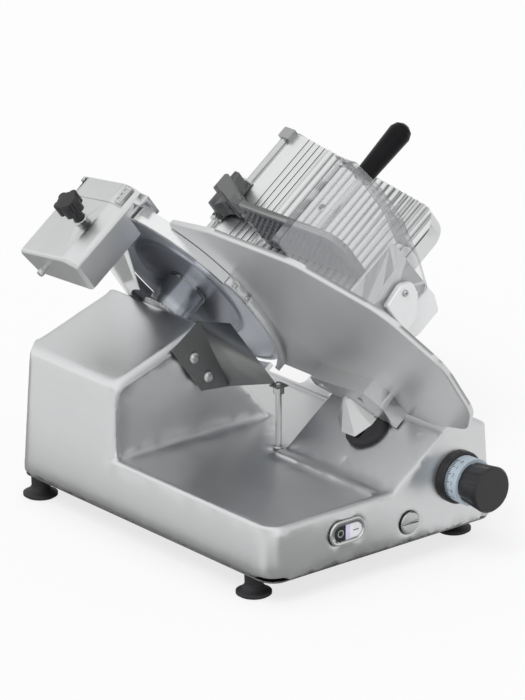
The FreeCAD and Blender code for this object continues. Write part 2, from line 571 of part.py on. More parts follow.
def ring_guard():
    """Cast hoop behind the blade's idle edge, on a web that springs from the tower."""
    inner = BLADE_RADIUS + RING_CLEAR
    outer = inner + RING_WALL
    hoop = tube((RING_BACK_N, BLADE_Y, 0), (RING_FRONT_N, BLADE_Y, 0), outer, inner)
    hoop = hoop.common(sector(400.0, RING_START_DEG, RING_END_DEG, -60, 20))
    root = HUB_RADIUS + 22.0
    web = turned([(COLLAR_N, root), (COLLAR_N, root + RING_WALL), (RING_BACK_N - 2, outer - 3),
                  (RING_BACK_N + 2, outer), (RING_BACK_N + 4, outer), (RING_BACK_N + 4, inner),
                  (RING_BACK_N + 2, inner - 3)], (0, BLADE_Y, 0), (1, 0, 0))
    web = web.common(sector(400.0, WEB_START_DEG, WEB_END_DEG, -90, 20))
    seat = rod((POST_N, POST_Y, POST_SEAT_W - 34), (POST_N, POST_Y, POST_SEAT_W), POST_RADIUS + 4)
    bridge = box(POST_N, RING_BACK_N + 2, POST_Y - 7, POST_Y + 7, POST_SEAT_W - 12, POST_SEAT_W)
    hole = rod((POST_N, POST_Y, POST_SEAT_W - 26), (POST_N, POST_Y, POST_SEAT_W + 9), POST_RADIUS)
    return tilted(fuse(hoop, web, seat, bridge).cut(hole))


def deflector():
    """Twisted sheet that strips the slice off the blade and drops it on the deck."""
    y, across = DEFLECTOR_Y, Vector(0, -DEFLECTOR_THICK, 0)
    foot_top, foot_low = tilted_point(-120.0, y, 42.0), tilted_point(-120.0, y, -38.0)
    bend_top, bend_low = tilted_point(-67.0, y, 40.0), tilted_point(-86.0, y, -69.0)
    lip_top = tilted_point(-24.0, BLADE_Y - 80.0, -26.0)
    lip_low = Vector(PROP_X, PROP_Y + 7, PROP_TOP - 3)
    flat = sheet(foot_top, foot_low, bend_low, bend_top, across)
    wing = sheet(bend_top, bend_low, lip_low, lip_top, across)
    tab = box(PROP_X - 9, PROP_X + 9, PROP_Y - 8, PROP_Y + 8, PROP_TOP - 5, PROP_TOP - 3)
    holes = [rod((x, y - 9, z), (x, y + 9, z), 4.0) for x, z in deflector_screw_places()]
    stud = rod((PROP_X, PROP_Y, PROP_TOP - 20), (PROP_X, PROP_Y, PROP_TOP + 5), 4.0)
    return cut(fuse(flat, wing, tab), stud, *holes)


def tilted_point(n, y, w):
    return TILT.multVec(Vector(n, y, w))


def sheet(a, b, c, d, across):
    """A sheet with the ruled outline a-b-c-d, as thick as the vector across."""
    near = Part.makePolygon([a, b, b + across, a + across, a])
    far = Part.makePolygon([d, c, c + across, d + across, d])
    return Part.makeLoft([near, far], True, True)


def deflector_screw_places():
    places = []
    for w in (8.0, -30.0):
        point = tilted_point(-102.0, 0, w)
        places.append((point.x, point.z))
    return places


def domed_screw(x, y, z, reach):
    """Screw along +Y with a big low head at y and a shank behind it."""
    profile = [(-5.0, 0.0), (-5.0, 4.0), (-3.5, 7.0), (0.0, 8.0), (0.0, 4.0), (reach, 4.0),
               (reach, 0.0)]
    return turned(profile, (x, y, z), (0, 1, 0))


def deflector_screws():
    y = DEFLECTOR_Y - DEFLECTOR_THICK
    return Part.Compound([domed_screw(x, y, z, 12.0) for x, z in deflector_screw_places()])


def support_rod():
    """Upright rod on the deck that steadies the free end of the deflector."""
    floor = DECK_HEIGHT - FLOOR_DROP
    bar = rod((PROP_X, PROP_Y, floor - 5), (PROP_X, PROP_Y, PROP_TOP), 4.0)
    return fuse(bar, rod((PROP_X, PROP_Y, floor), (PROP_X, PROP_Y, floor + 3), 7.0))


def hex_nut(x, y, z0, z1, across_flats):
    radius = across_flats / math.sqrt(3)
    corners = [(x + radius * math.cos(math.radians(60 * i)),
                y + radius * math.sin(math.radians(60 * i)), 0) for i in range(6)]
    return prism(corners, "xy", z0, z1).cut(rod((x, y, z0 - 1), (x, y, z1 + 1), 4.0))


def guards():
    add("ring_guard", ring_guard())
    add("slice_deflector", deflector())
    add("deflector_screws", deflector_screws())
    add("support_rod", support_rod())
    add("rod_nut", hex_nut(PROP_X, PROP_Y, PROP_TOP - 14, PROP_TOP - 5, 13.0))


# ---- Gauge plate ----------------------------------------------------------------------------

def gauge_outline():
    """Flat face that guides the food: an arc round the blade, a long back and a blunt nose."""
    far, crest = BLADE_Y - 71.0, BLADE_RADIUS + 19.0
    corners = [(far, BLADE_RADIUS, 4.0), (far - 95.0, crest, 60.0), (90.0, crest, 120.0),
               (-45.0, 126.0, 90.0), (-103.0, 45.0, 60.0), (-94.0, -45.0, 50.0),
               (-56.0, -94.0, 40.0), (20.0, PLATE_LOW_W, 60.0), (far, PLATE_LOW_W, 4.0)]
    face = Part.Face(rounded_wire(corners, lambda p: Vector(-PLATE_THICK, p.x, p.y)))
    near = BLADE_RADIUS + PLATE_GAP
    clear = near + RING_WALL + PLATE_GAP
    hole = Part.Face(Part.Wire(Part.makeCircle(near, Vector(-PLATE_THICK, BLADE_Y, 0),
                                               Vector(1, 0, 0))))
    relief = Part.Face(Part.Wire(Part.makeCircle(clear, Vector(-PLATE_THICK, BLADE_Y, 0),
                                                 Vector(1, 0, 0))))
    above = sector(400.0, RING_START_DEG - 2.0, 120.0, -60, 60)
    return face.cut(hole).cut(relief.common(above))


def gauge_plate():
    plate = gauge_outline().extrude(Vector(PLATE_THICK, 0, 0))
    back = edges_where(plate, lambda e: e.BoundBox.XMax < -PLATE_THICK + 0.1
                       and e.BoundBox.YMin < 250 and e.Length > 20)
    plate = plate.makeFillet(2.5, back)
    near = BLADE_RADIUS + PLATE_GAP
    strip = tube((STRIP_BACK_N, BLADE_Y, 0), (-PLATE_THICK, BLADE_Y, 0), near + STRIP_WALL, near)
    strip = strip.common(sector(400.0, STRIP_START_DEG, STRIP_END_DEG, -60, 20))
    holes = [rod((-PLATE_THICK - 3, y, w), (-PLATE_THICK / 2, y, w), 2.6)
             for y, w in gauge_screw_places()]
    holes += [strip_screw(degrees, 0.1) for degrees in STRIP_SCREW_DEGS]
    return tilted(cut(fuse(plate, strip), *holes))


def strip_screw(degrees, extra):
    """Small low-headed screw that points from outside the strip towards the blade's centre."""
    outer = BLADE_RADIUS + PLATE_GAP + STRIP_WALL
    y, w = blade_point(outer, degrees)
    angle = math.radians(degrees)
    outward = (0, -math.cos(angle), math.sin(angle))
    profile = [(-4.0, 0.0), (-4.0, 1.6 + extra), (0.0, 1.6 + extra), (0.0, 3.2), (0.9, 3.0),
               (1.5, 1.8), (1.5, 0.0)]
    return turned(profile, (STRIP_SCREW_N, y, w), outward)


def gauge_screw_places():
    return [(ARM_Y1 - 18.0, -82.0), (ARM_Y0 + 42.0, -80.0)]


def gauge_arm():
    """Arm on the plate's back that bends down past a wedge foot, with a stem into the base."""
    n0, n1 = -PLATE_THICK - ARM_DEPTH, -PLATE_THICK
    foot_w = RAMP_W + BOOT_HEIGHT + BODY_GAP
    toe = BOOT_Y - BOOT_RADIUS - 0.5
    bar = prism([(ARM_Y1, -74.0, 3.0), (ARM_Y1, -90.0, 3.0), (ARM_Y1 - 36, -97.0, 16.0),
                 (ARM_Y1 - 56, -97.0, 10.0), (toe + 10, foot_w, 2.0), (toe, foot_w, 0),
                 (toe, RAMP_W + 1.2, 0), (ARM_Y0, RAMP_W + 1.2, 2.0), (ARM_Y0 + 2, -80.0, 14.0),
                 (ARM_Y0 + 18, -60.0, 16.0)], "yz", n0, n1)
    foot = [(n0 + 2, 160), (-50, 160), (-66, 139), (-65, 114), (-42, 104), (n0 + 2, 104)]
    peak = [(n0 + 2, 150), (-33, 149), (-35, 146), (-35, 142), (-33, 139), (n0 + 2, 137)]
    sides = [Part.makePolygon([Vector(n, y, w) for n, y in ring + ring[:1]])
             for ring, w in ((foot, foot_w), (peak, -87.0))]
    wedge = Part.makeLoft(sides, True, True)
    stem = rod((BOOT_N, BOOT_Y, STEM_W), (BOOT_N, BOOT_Y, foot_w + 1), STEM_RADIUS)
    block = box(BOOT_N - 11, BOOT_N + 11, BOOT_Y - 11, BOOT_Y + 11, STEM_W - 16, STEM_W)
    bore = rod((BOOT_N - 40, BOOT_Y, STEM_W - 8), (BOOT_N + 40, BOOT_Y, STEM_W - 8),
               GUIDE_RADIUS + RUNNING)
    holes = [rod((n0 - 1, y, w), (n1 + 1, y, w), 2.6) for y, w in gauge_screw_places()]
    heads = [rod((n0 - 1, y, w), (n0 + 6, y, w), 4.6) for y, w in gauge_screw_places()]
    return tilted(cut(fuse(bar, wedge, stem, block), bore, *holes, *heads))


def gauge_screws():
    n0 = -PLATE_THICK - ARM_DEPTH
    screws = []
    for y, w in gauge_screw_places():
        shank = rod((n0 + 4, y, w), (-PLATE_THICK / 2, y, w), 2.5)
        screws.append(tilted(fuse(shank, rod((n0 + 2, y, w), (n0 + 6, y, w), 4.5))))
    small = [tilted(strip_screw(degrees, 0.0)) for degrees in STRIP_SCREW_DEGS]
    return Part.Compound(screws + small)


def gauge_boot():
    """Rubber boot on the ramp, slotted for the stem and flat where the open plate comes."""
    dome = turned([(0.0, 0.0), (0.0, BOOT_RADIUS), (BOOT_HEIGHT - 3, BOOT_RADIUS),
                   (BOOT_HEIGHT, BOOT_RADIUS - 4), (BOOT_HEIGHT, 0.0)],
                  (BOOT_N, BOOT_Y, RAMP_W), (0, 0, 1))
    flat_n = -PLATE_THICK - GAUGE_TRAVEL - 2 * BODY_GAP
    plate_way = box(flat_n, 0, BOOT_Y - 40, BOOT_Y + 40, RAMP_W - 1, RAMP_W + 30)
    return tilted(cut(dome, stem_slot(), plate_way))


def stem_slot():
    """The slot that the gauge stem travels in, through the boot and the ramp."""
    half = STEM_RADIUS + 1.0
    return prism(rectangle(BOOT_N - GAUGE_TRAVEL - half, BOOT_N + half, BOOT_Y - half,
                           BOOT_Y + half, half - 0.01), "xy", RAMP_W - WALL - 30, RAMP_W + 30)


def gauge_guide():
    """Bar inside the base, along the blade's axis, that the gauge stem slides on."""
    n0, n1 = BOOT_N - GAUGE_TRAVEL - 16, BOOT_N + 16
    bar = rod((n0, BOOT_Y, STEM_W - 8), (n1, BOOT_Y, STEM_W - 8), GUIDE_RADIUS)
    posts = [box(n - 4, n + 4, BOOT_Y - 6, BOOT_Y + 6, STEM_W - 12, RAMP_W - WALL)
             for n in (n0, n1)]
    return tilted(fuse(bar, *posts))


def gauge():
    add("gauge_plate", gauge_plate())
    add("gauge_arm", gauge_arm())
    add("gauge_screws", gauge_screws())
    add("gauge_boot", gauge_boot())
    add("gauge_guide", gauge_guide())


# ---- Controls on the front wall -------------------------------------------------------------

def stadium(x, z, length, height, y0, y1):
    return prism(rectangle(x - length / 2, x + length / 2, z - height / 2, z + height / 2,
                           height / 2 - 0.05), "xz", y0, y1)


def switch_bezel():
    """Rim and body of the push switch, open in front for its two buttons."""
    rim = stadium(SWITCH_X, SWITCH_Z, SWITCH_LENGTH + 5, SWITCH_HEIGHT + 5, -3.0, 0.0)
    outer = edges_where(rim, lambda e: e.BoundBox.YMax < -2.9)
    rim = rim.makeFillet(1.5, outer)
    body = stadium(SWITCH_X, SWITCH_Z, SWITCH_LENGTH - 1, SWITCH_HEIGHT - 1, 0.0, 26.0)
    well = stadium(SWITCH_X, SWITCH_Z, SWITCH_LENGTH - 7, SWITCH_HEIGHT - 7, -4.0, 18.0)
    return fuse(rim, body).cut(well)


def switch_button(side):
    """Half-round push button; side is -1 for the left one and 1 for the right one."""
    whole = stadium(SWITCH_X, SWITCH_Z, SWITCH_LENGTH - 7 - 2 * BODY_GAP,
                    SWITCH_HEIGHT - 7 - 2 * BODY_GAP, -2.5, 10.0)
    edge = SWITCH_X + side * (LAMP_WIDTH / 2 + BODY_GAP)
    far = SWITCH_X + side * SWITCH_LENGTH
    half = whole.common(box(min(edge, far), max(edge, far), -10, 40, 0, 90))
    front = edges_where(half, lambda e: e.BoundBox.YMax < -2.4)
    return half.makeFillet(0.8, front)


def switch_lamp():
    half = LAMP_WIDTH / 2
    tall = (SWITCH_HEIGHT - 7) / 2
    return box(SWITCH_X - half, SWITCH_X + half, -2.0, 18.0, SWITCH_Z - tall, SWITCH_Z + tall)


def front_plug():
    """Round plug with a screwdriver slot; it closes the access hole to the slice gauge."""
    head = turned([(-2.5, 0.0), (-2.5, PLUG_RADIUS - 1), (-1.5, PLUG_RADIUS), (0.0, PLUG_RADIUS),
                   (0.0, PLUG_RADIUS - 3.7), (12.0, PLUG_RADIUS - 3.7), (12.0, 0.0)],
                  (PLUG_X, 0, PLUG_Z), (0, 1, 0))
    return head.cut(box(PLUG_X - 20, PLUG_X + 20, -5, -1.2, PLUG_Z - 1.2, PLUG_Z + 1.2))


def dial_ring():
    """Fixed collar round the thickness dial; an index mark is cut in its top."""
    back, front = DIAL_BACK, DIAL_BACK - 11.0
    floor, wide = back - 3.0, DIAL_RING_RADIUS
    outer = turned([(front, wide - 4), (front, wide - 2), (front + 2, wide), (back, wide),
                    (back, 8.0), (floor, 8.0), (floor, wide - 4)], (DIAL_X, 0, DIAL_Z), (0, 1, 0))
    return outer.cut(box(DIAL_X - 1, DIAL_X + 1, front - 1, front + 8, DIAL_Z + wide - 1.0,
                         DIAL_Z + wide + 5))


def dial_scale():
    """Tapered ring that carries the thickness scale."""
    wide, start = DIAL_RING_RADIUS - 4 - BODY_GAP, DIAL_BACK - 3.0 - BODY_GAP
    return turned([(start, 7.5), (start, wide), (start - 7, wide), (DIAL_KNOB_Y, DIAL_KNOB_RADIUS),
                   (DIAL_KNOB_Y, 7.5)], (DIAL_X, 0, DIAL_Z), (0, 1, 0))


def dial_knob():
    """Fluted knob, a little wider at its end."""
    start, end = DIAL_KNOB_Y, -DIAL_REACH
    grip = turned([(start, 0.0), (start, DIAL_KNOB_RADIUS - 4), (end + 3, DIAL_KNOB_RADIUS),
                   (end, DIAL_KNOB_RADIUS - 2.5), (end, 0.0)], (DIAL_X, 0, DIAL_Z), (0, 1, 0))
    flutes = []
    for i in range(KNOB_FLUTES):
        angle = 2 * math.pi * (i + 0.5) / KNOB_FLUTES
        x = DIAL_X + (DIAL_KNOB_RADIUS + 8) * math.cos(angle)
        z = DIAL_Z + (DIAL_KNOB_RADIUS + 8) * math.sin(angle)
        flutes.append(cone((x, start, z), (x, end + 3, z), 13.0, 10.0))
    return cut(grip, *flutes)


def dial_spindle():
    """Spindle from the knob through the front wall, with the cam under the gauge stem."""
    shaft = rod((DIAL_X, DIAL_KNOB_Y, DIAL_Z), (DIAL_X, BOOT_Y + 10, DIAL_Z), 7.0 - RUNNING)
    cam = rod((DIAL_X - CAM_THROW, BOOT_Y - 5, DIAL_Z), (DIAL_X - CAM_THROW, BOOT_Y + 5, DIAL_Z),
              CAM_RADIUS)
    return fuse(shaft, cam)


def controls():
    add("switch_bezel", switch_bezel())
    add("stop_button", switch_button(-1))
    add("start_button", switch_button(1))
    add("switch_lamp", switch_lamp())
    add("front_plug", front_plug())
    add("dial_ring", dial_ring())
    add("dial_scale", dial_scale())
    add("dial_knob", dial_knob())
    add("dial_spindle", dial_spindle())


# ---- Carriage -------------------------------------------------------------------------------

def table_section():
    """The table's cross-section: round ribs in front, grooves, then a flat band at the back."""
    low, top = TABLE_W - TABLE_THICK, TABLE_W
    edges = []
    y = TABLE_Y0 + 2.0
    start = y
    for i in range(RIB_COUNT):
        middle = Vector(0, y + RIB_PITCH / 2, top + RIB_HEIGHT)
        edges.append(Part.Arc(Vector(0, y, top), middle, Vector(0, y + RIB_PITCH, top)).toShape())
        y += RIB_PITCH
    outline = [Vector(0, y, top), Vector(0, TABLE_Y1, top), Vector(0, TABLE_Y1, low),
               Vector(0, start, low), Vector(0, start, top)]
    edges += [Part.makeLine(a, b) for a, b in zip(outline, outline[1:])]
    return Part.Face(Part.Wire(edges)), y


def table_outline(inset):
    """The table seen from above: slanted far edge and a rounded near far corner."""
    n0, n1, y0, y1 = TABLE_N0, TABLE_N1 - inset, TABLE_Y0 + inset, TABLE_Y1
    slant = n1 - (y1 - y0) * TABLE_SLANT
    return [(n0, y0, 2.0), (slant, y0, 40.0 - inset), (n1, y1, 3.0), (n0, y1, 2.0)]


def food_table():
    """Ribbed table with a turned-down rim along its near and far edges."""
    face, flat_start = table_section()
    table = face.extrude(Vector(TABLE_N1, 0, 0)).common(prism(table_outline(0.0), "xy", -200, 200))
    top = TABLE_W - 1.0
    rim = prism(table_outline(0.0), "xy", TABLE_W - TABLE_RIM, top)
    inner = prism(table_outline(TABLE_THICK), "xy", TABLE_W - TABLE_RIM - 1, top + 1)
    rim = cut(rim, inner, box(-10, LUG_N + 35, 0, 600, -300, 0), box(0, 400, 500, 600, -300, 0))
    grooves = [box(0, TABLE_N1, flat_start + 6 + GROOVE_PITCH * i,
                   flat_start + 7.6 + GROOVE_PITCH * i, TABLE_W - GROOVE_DEPTH, TABLE_W + 5)
               for i in range(GROOVE_COUNT)]
    holes = [rod((n, y, TABLE_W - 20), (n, y, TABLE_W + 9), 2.6) for n, y in table_screw_places()]
    sinks = [rod((n, y, TABLE_W - 2.5), (n, y, TABLE_W + 9), 5.0) for n, y in table_screw_places()]
    return tilted(cut(fuse(table, rim), *grooves, *holes, *sinks))


def table_screw_places():
    return [(ARM_N0 + 15.0, ARM_BAR_Y), (ARM_N1 - 15.0, ARM_BAR_Y)]


def table_screws():
    low = TABLE_W - TABLE_THICK
    return Part.Compound([tilted(fuse(rod((n, y, low - 9), (n, y, TABLE_W - 2.5), 2.5),
                                      rod((n, y, TABLE_W - 2.5), (n, y, TABLE_W - 0.5), 4.9)))
                          for n, y in table_screw_places()])


def carriage_wall():
    """Front wall: it stands above the table, hangs below it and carries a lug for a screw."""
    y0, y1 = TABLE_Y0 - PANEL_THICK, TABLE_Y0
    panel = prism([(22.0, -38.0, 3.0), (171.0, -38.0, 8.0), (174.0, -120.0, 60.0),
                   (176.0, -150.0, 10.0), (168.0, -173.0, 8.0), (118.0, -173.0, 16.0),
                   (96.0, -110.0, 20.0), (22.0, -92.0, 4.0)], "xz", y0, y1)
    lug_back = y0 - GUARD_THICK
    lug = prism([(108.0, -143.0, 3.0), (107.0, -90.0, 5.0), (141.0, -85.0, 13.0),
                 (156.0, -96.0, 8.0), (154.0, -116.0, 12.0), (132.0, -143.0, 4.0)],
                "xz", lug_back - LUG_THICK, lug_back)
    front = edges_where(lug, lambda e: e.BoundBox.YMax < lug_back - LUG_THICK + 0.1)
    lug = lug.makeFillet(2.0, front)
    bridge = box(112.0, 138.0, lug_back, y0, -143.0, -133.0)
    shelf = box(40.0, LUG_N + 34, y1, y1 + 14.0, TABLE_W - TABLE_THICK - 5.0, TABLE_W - TABLE_THICK)
    bore = rod((LUG_N, y0 - 20, LUG_W), (LUG_N, y1 + 5, LUG_W), 2.5)
    return tilted(cut(fuse(panel, lug, bridge, shelf), bore))


def wall_screw():
    y0 = TABLE_Y0 - PANEL_THICK - GUARD_THICK - LUG_THICK
    profile = [(-3.0, 0.0), (-3.0, 3.0), (-1.6, 4.6), (0.0, 5.0), (0.0, 2.5), (17.0, 2.5),
               (17.0, 0.0)]
    head = turned(profile, (LUG_N, y0, LUG_W), (0, 1, 0))
    return tilted(head.cut(rod((LUG_N, y0 - 4, LUG_W), (LUG_N, y0 - 1.2, LUG_W), 1.8)))


def carriage_arm():
    """Bent arm from under the table, down beside the base, to the slide block."""
    y0, y1 = ARM_BAR_Y - ARM_WIDTH / 2, ARM_BAR_Y + ARM_WIDTH / 2
    top = TABLE_W - TABLE_THICK
    under = [tilted_point(ARM_N0, 0, top), tilted_point(ARM_N1, 0, top),
             tilted_point(ARM_N1, 0, top - 14)]
    elbow_x = BASE_WIDTH + 70.0
    corners = [(under[0].x, under[0].z, 2.0), (under[1].x, under[1].z, 2.0),
               (under[2].x, under[2].z, 4.0), (elbow_x + 8, 150.0, 30.0),
               (elbow_x + 8, RAIL_Z - 16, 14.0), (BASE_WIDTH + 2, RAIL_Z - 16, 2.0),
               (BASE_WIDTH + 2, RAIL_Z + 10, 2.0), (elbow_x - 14, RAIL_Z + 10, 14.0),
               (elbow_x - 14, 146.0, 30.0), (tilted_point(ARM_N0, 0, top - 14).x,
                                             tilted_point(ARM_N0, 0, top - 14).z, 4.0)]
    arm = prism(corners, "xz", y0, y1)
    holes = [tilted(rod((n, y, top - 10), (n, y, top + 1), 2.5)) for n, y in table_screw_places()]
    return cut(arm, *holes)


def slide_block():
    """Bearing block on the rail, with a foot that steadies it on the guide bar."""
    y0, y1 = ARM_BAR_Y - BLOCK_LENGTH / 2, ARM_BAR_Y + BLOCK_LENGTH / 2
    block = box(RECESS_X + 4, BASE_WIDTH + 2, y0, y1, RAIL_Z - 16, RAIL_Z + 12)
    bore = rod((RAIL_X, y0 - 5, RAIL_Z), (RAIL_X, y1 + 5, RAIL_Z), RAIL_RADIUS + RUNNING)
    return block.cut(bore)


def rail():
    return rod((RAIL_X, 8.5, RAIL_Z), (RAIL_X, BASE_DEPTH - 8.5, RAIL_Z), RAIL_RADIUS)


def clear_guard():
    """Clear hand guard: a front sheet with a rounded corner, a top flange and a side return."""
    y1 = TABLE_Y0 - PANEL_THICK
    y0 = y1 - GUARD_THICK
    n0, n1, top, thick = GUARD_N0, GUARD_N1, GUARD_TOP_W, GUARD_THICK
    side = [(n1, 40.0, 60.0), (n1, -20.0, 60.0), (185.0, -89.0, 40.0)]
    sheet_form = prism([(n0, -62.0, 5.0), (n0, top, 4.0), (n1 - 10, top, 22.0)] + side
                       + [(172.0, -130.0, 8.0), (100.0, -130.0, 8.0), (92.0, -72.0, 20.0)],
                       "xz", y0, y1)
    inner = [(n1 - thick, 40.0, 58.0), (n1 - thick, -20.0, 56.0), (182.0, -80.0, 2.0)]
    border = cut(prism([(n0, -70.0, 0), (n0, top, 4.0), (n1 - 10, top, 22.0)] + side
                       + [(180.0, -110.0, 0)], "xz", y1, y1 + GUARD_RETURN),
                 prism([(n0 - 5, -75.0, 0), (n0 - 5, top - thick, 2.0),
                        (n1 - 10 - thick, top - thick, 18.0)] + inner + [(100.0, -80.0, 0)],
                       "xz", y1 - 1, y1 + GUARD_RETURN + 1),
                 box(-20, 400, y1, y1 + 60, -300, -66.0), box(-20, 60, y1, y1 + 60, -300, top - 30),
                 box(-20, n1 - 14, y1 + GUARD_FLANGE, y1 + 60, -300, top + 10))
    bore = rod((LUG_N, y0 - 5, LUG_W), (LUG_N, y1 + 5, LUG_W), 2.8)
    slot = box(111.0, 139.0, y0 - 1, y1 + 1, -144.0, -128.0)
    return tilted(cut(fuse(sheet_form, border), bore, slot))


def rod_block_starts():
    """The rod's blocks stop the pusher a little past its travel, down and up."""
    near = PUSHER_N - PUSHER_TRAVEL_DOWN - STOP_GAP - ROD_BLOCK_LENGTH
    return near, PUSHER_N + PUSHER_HUB_LENGTH + PUSHER_TRAVEL_UP + STOP_GAP


def pusher_rod():
    near, far = rod_block_starts()
    return tilted(rod((near + 1, PUSHER_ROD_Y, PUSHER_ROD_W),
                      (far + 10, PUSHER_ROD_Y, PUSHER_ROD_W), PUSHER_ROD_RADIUS))


def rod_blocks():
    """Two lugs on the table's back edge that hold the pusher's rod."""
    blocks = []
    for n in rod_block_starts():
        block = box(n, n + ROD_BLOCK_LENGTH, TABLE_Y1, PUSHER_ROD_Y + 10,
                    PUSHER_ROD_W - 10, PUSHER_ROD_W + 9)
        corners = edges_where(block, lambda e: e.BoundBox.YMin > PUSHER_ROD_Y + 9)
        block = block.makeFillet(3.0, corners)
        blocks.append(tilted(block.cut(rod((n - 1, PUSHER_ROD_Y, PUSHER_ROD_W),
                                           (n + 20, PUSHER_ROD_Y, PUSHER_ROD_W),
                                           PUSHER_ROD_RADIUS))))
    return Part.Compound(blocks)


def carriage():
    add("food_table", food_table())
    add("table_screws", table_screws())
    add("carriage_wall", carriage_wall())
    add("wall_screw", wall_screw())
    add("carriage_arm", carriage_arm())
    add("slide_block", slide_block())
    add("slide_rail", rail())
    add("clear_guard", clear_guard())
    add("pusher_rod", pusher_rod())
    add("rod_blocks", rod_blocks())


# ---- Food pusher ----------------------------------------------------------------------------

def pusher_bushing():
    """Sleeve that slides along the rod; its collars keep the arm in place."""
    n0, n1, wide = PUSHER_N, PUSHER_N + PUSHER_HUB_LENGTH, PUSHER_HUB_RADIUS - 0.5
    sleeve = rod((n0, PUSHER_ROD_Y, PUSHER_ROD_W), (n1, PUSHER_ROD_Y, PUSHER_ROD_W),
                 BUSHING_RADIUS)
    collars = [rod((n, PUSHER_ROD_Y, PUSHER_ROD_W), (n + 4, PUSHER_ROD_Y, PUSHER_ROD_W), wide)
               for n in (n0, n1 - 4)]
    bore = rod((n0 - 1, PUSHER_ROD_Y, PUSHER_ROD_W), (n1 + 1, PUSHER_ROD_Y, PUSHER_ROD_W),
               PUSHER_ROD_RADIUS + RUNNING)
    return tilted(fuse(sleeve, *collars).cut(bore))


def pusher_arm():
    """Cast hub with a web that narrows and rises over the table to the plate's back corner."""
    n0 = PUSHER_N + 4 + BODY_GAP
    n1 = PUSHER_N + PUSHER_HUB_LENGTH - 4 - BODY_GAP
    near, far = PLATE_FACE_N, PLATE_FACE_N + PUSHER_PLATE_THICK
    seat, rod_y, top = SEAT_Y, PUSHER_ROD_Y, PUSHER_PLATE_TOP
    hub = rod((n0, rod_y, PUSHER_ROD_W), (n1, rod_y, PUSHER_ROD_W), PUSHER_HUB_RADIUS)
    plan = prism([(near, seat, 2.0), (near, seat + 14, 8.0), (near + 34, rod_y - 10, 12.0),
                  (near + 34, rod_y + 8.5, 3.0), (far + 42, rod_y + 8.5, 3.0),
                  (far + 44, rod_y - 20, 22.0), (far, seat + 10, 8.0), (far, seat, 2.0)],
                 "xy", PUSHER_ROD_W - 2, 20.0)
    side = prism([(rod_y + 6.5, PUSHER_ROD_W, 0), (rod_y + 7.5, -42.0, 10.0),
                  (rod_y - 9.5, -28.0, 14.0), (seat + 19, top, 30.0), (seat, top, 0),
                  (seat, SEAT_W, 0), (seat + 22, SEAT_W - 4, 20.0), (rod_y - 21.5, -50.0, 20.0),
                  (rod_y - 9.5, PUSHER_ROD_W + 6, 2.0)], "yz", near - 20, far + 70)
    gusset = prism([(n0 + 2, rod_y, 0), (n1 - 2, rod_y, 0), (n1 - 2, rod_y - 9, 1.0),
                    (far + 46, rod_y - 14, 9.0), (far + 30, rod_y - 44, 4.0),
                    (near + 20, rod_y - 44, 4.0), (near + 24, rod_y - 24, 14.0),
                    (n0 + 2, rod_y - 12, 1.0)], "xy", TABLE_W + RIB_HEIGHT + 2, -46.0)
    bore = rod((n0 - 1, rod_y, PUSHER_ROD_W), (n1 + 1, rod_y, PUSHER_ROD_W),
               BUSHING_RADIUS + RUNNING)
    return tilted(fuse(hub, plan.common(side), gusset).cut(bore))


def blunt_tooth():
    """A square tooth, tapered to a small flat, that points out of the plate's face."""
    wide, narrow = TOOTH_PITCH / 2 - 1, 1.0
    tooth = Part.makeWedge(-wide, -0.5, -wide, -narrow, -narrow, wide, 3.0, wide, narrow, narrow)
    tooth.rotate(Vector(0, 0, 0), Vector(0, 0, 1), 90)
    return tooth


def rear_of_plate(w):
    """How far back the plate's face is free at a height: a slanted edge, then the arm's seat."""
    low = TABLE_W + RIB_HEIGHT + 1.5
    slanted = PUSHER_PLATE_Y1 - PUSHER_PLATE_LEAN * (SEAT_W - 4 - w) / (SEAT_W - 4 - low)
    return min(slanted, SEAT_Y) if w > SEAT_W - TOOTH_PITCH / 2 else slanted


def pusher_plate():
    """Plate that presses the food, with a waffle of blunt teeth facing the blade."""
    n0, n1 = PLATE_FACE_N, PLATE_FACE_N + PUSHER_PLATE_THICK
    y0, y1, top = PUSHER_PLATE_Y0, PUSHER_PLATE_Y1, PUSHER_PLATE_TOP
    low = TABLE_W + RIB_HEIGHT + 1.5
    plate = prism([(y0, low, 4.0), (y0, top, 30.0), (SEAT_Y - BODY_GAP, top, 0),
                   (SEAT_Y - BODY_GAP, SEAT_W - BODY_GAP, 0), (y1, SEAT_W - 4, 6.0),
                   (y1 - PUSHER_PLATE_LEAN, low, 8.0)], "yz", n0, n1)
    tooth, teeth = blunt_tooth(), []
    for i in range(int((y1 - y0) / TOOTH_PITCH)):
        for j in range(int((top - 6 - low) / TOOTH_PITCH)):
            y = y0 + 12 + TOOTH_PITCH * i
            w = low + 8 + TOOTH_PITCH * j
            inside = y - y0 > (w - low) / 2 and y + TOOTH_PITCH / 2 < rear_of_plate(w)
            if inside:
                teeth.append(tooth.translated(Vector(n0, y, w)))
    return tilted(fuse(plate, *teeth))


def pusher_stem():
    return tilted(rod((PLATE_FACE_N + PUSHER_PLATE_THICK, GRIP_Y, GRIP_W),
                      (GRIP_N0 + 12, GRIP_Y, GRIP_W), 5.5))


def pusher_grip():
    """Black handle, thicker towards its rounded end."""
    n0, n1 = GRIP_N0, GRIP_N0 + GRIP_LENGTH
    body = turned([(n0, 5.5), (n0, 11.0), (n0 + 2, 12.5), (n1 - 14, GRIP_RADIUS),
                   (n1 - 6, GRIP_RADIUS - 3), (n1 - 1.5, GRIP_RADIUS - 9), (n1, 0.0),
                   (n0 + 12, 0.0), (n0 + 12, 5.5)], (0, GRIP_Y, GRIP_W), (1, 0, 0))
    return tilted(body)


def pusher():
    add("pusher_bushing", pusher_bushing())
    add("pusher_arm", pusher_arm())
    add("pusher_plate", pusher_plate())
    add("pusher_stem", pusher_stem())
    add("pusher_grip", pusher_grip())


# ---- Sharpener ------------------------------------------------------------------------------

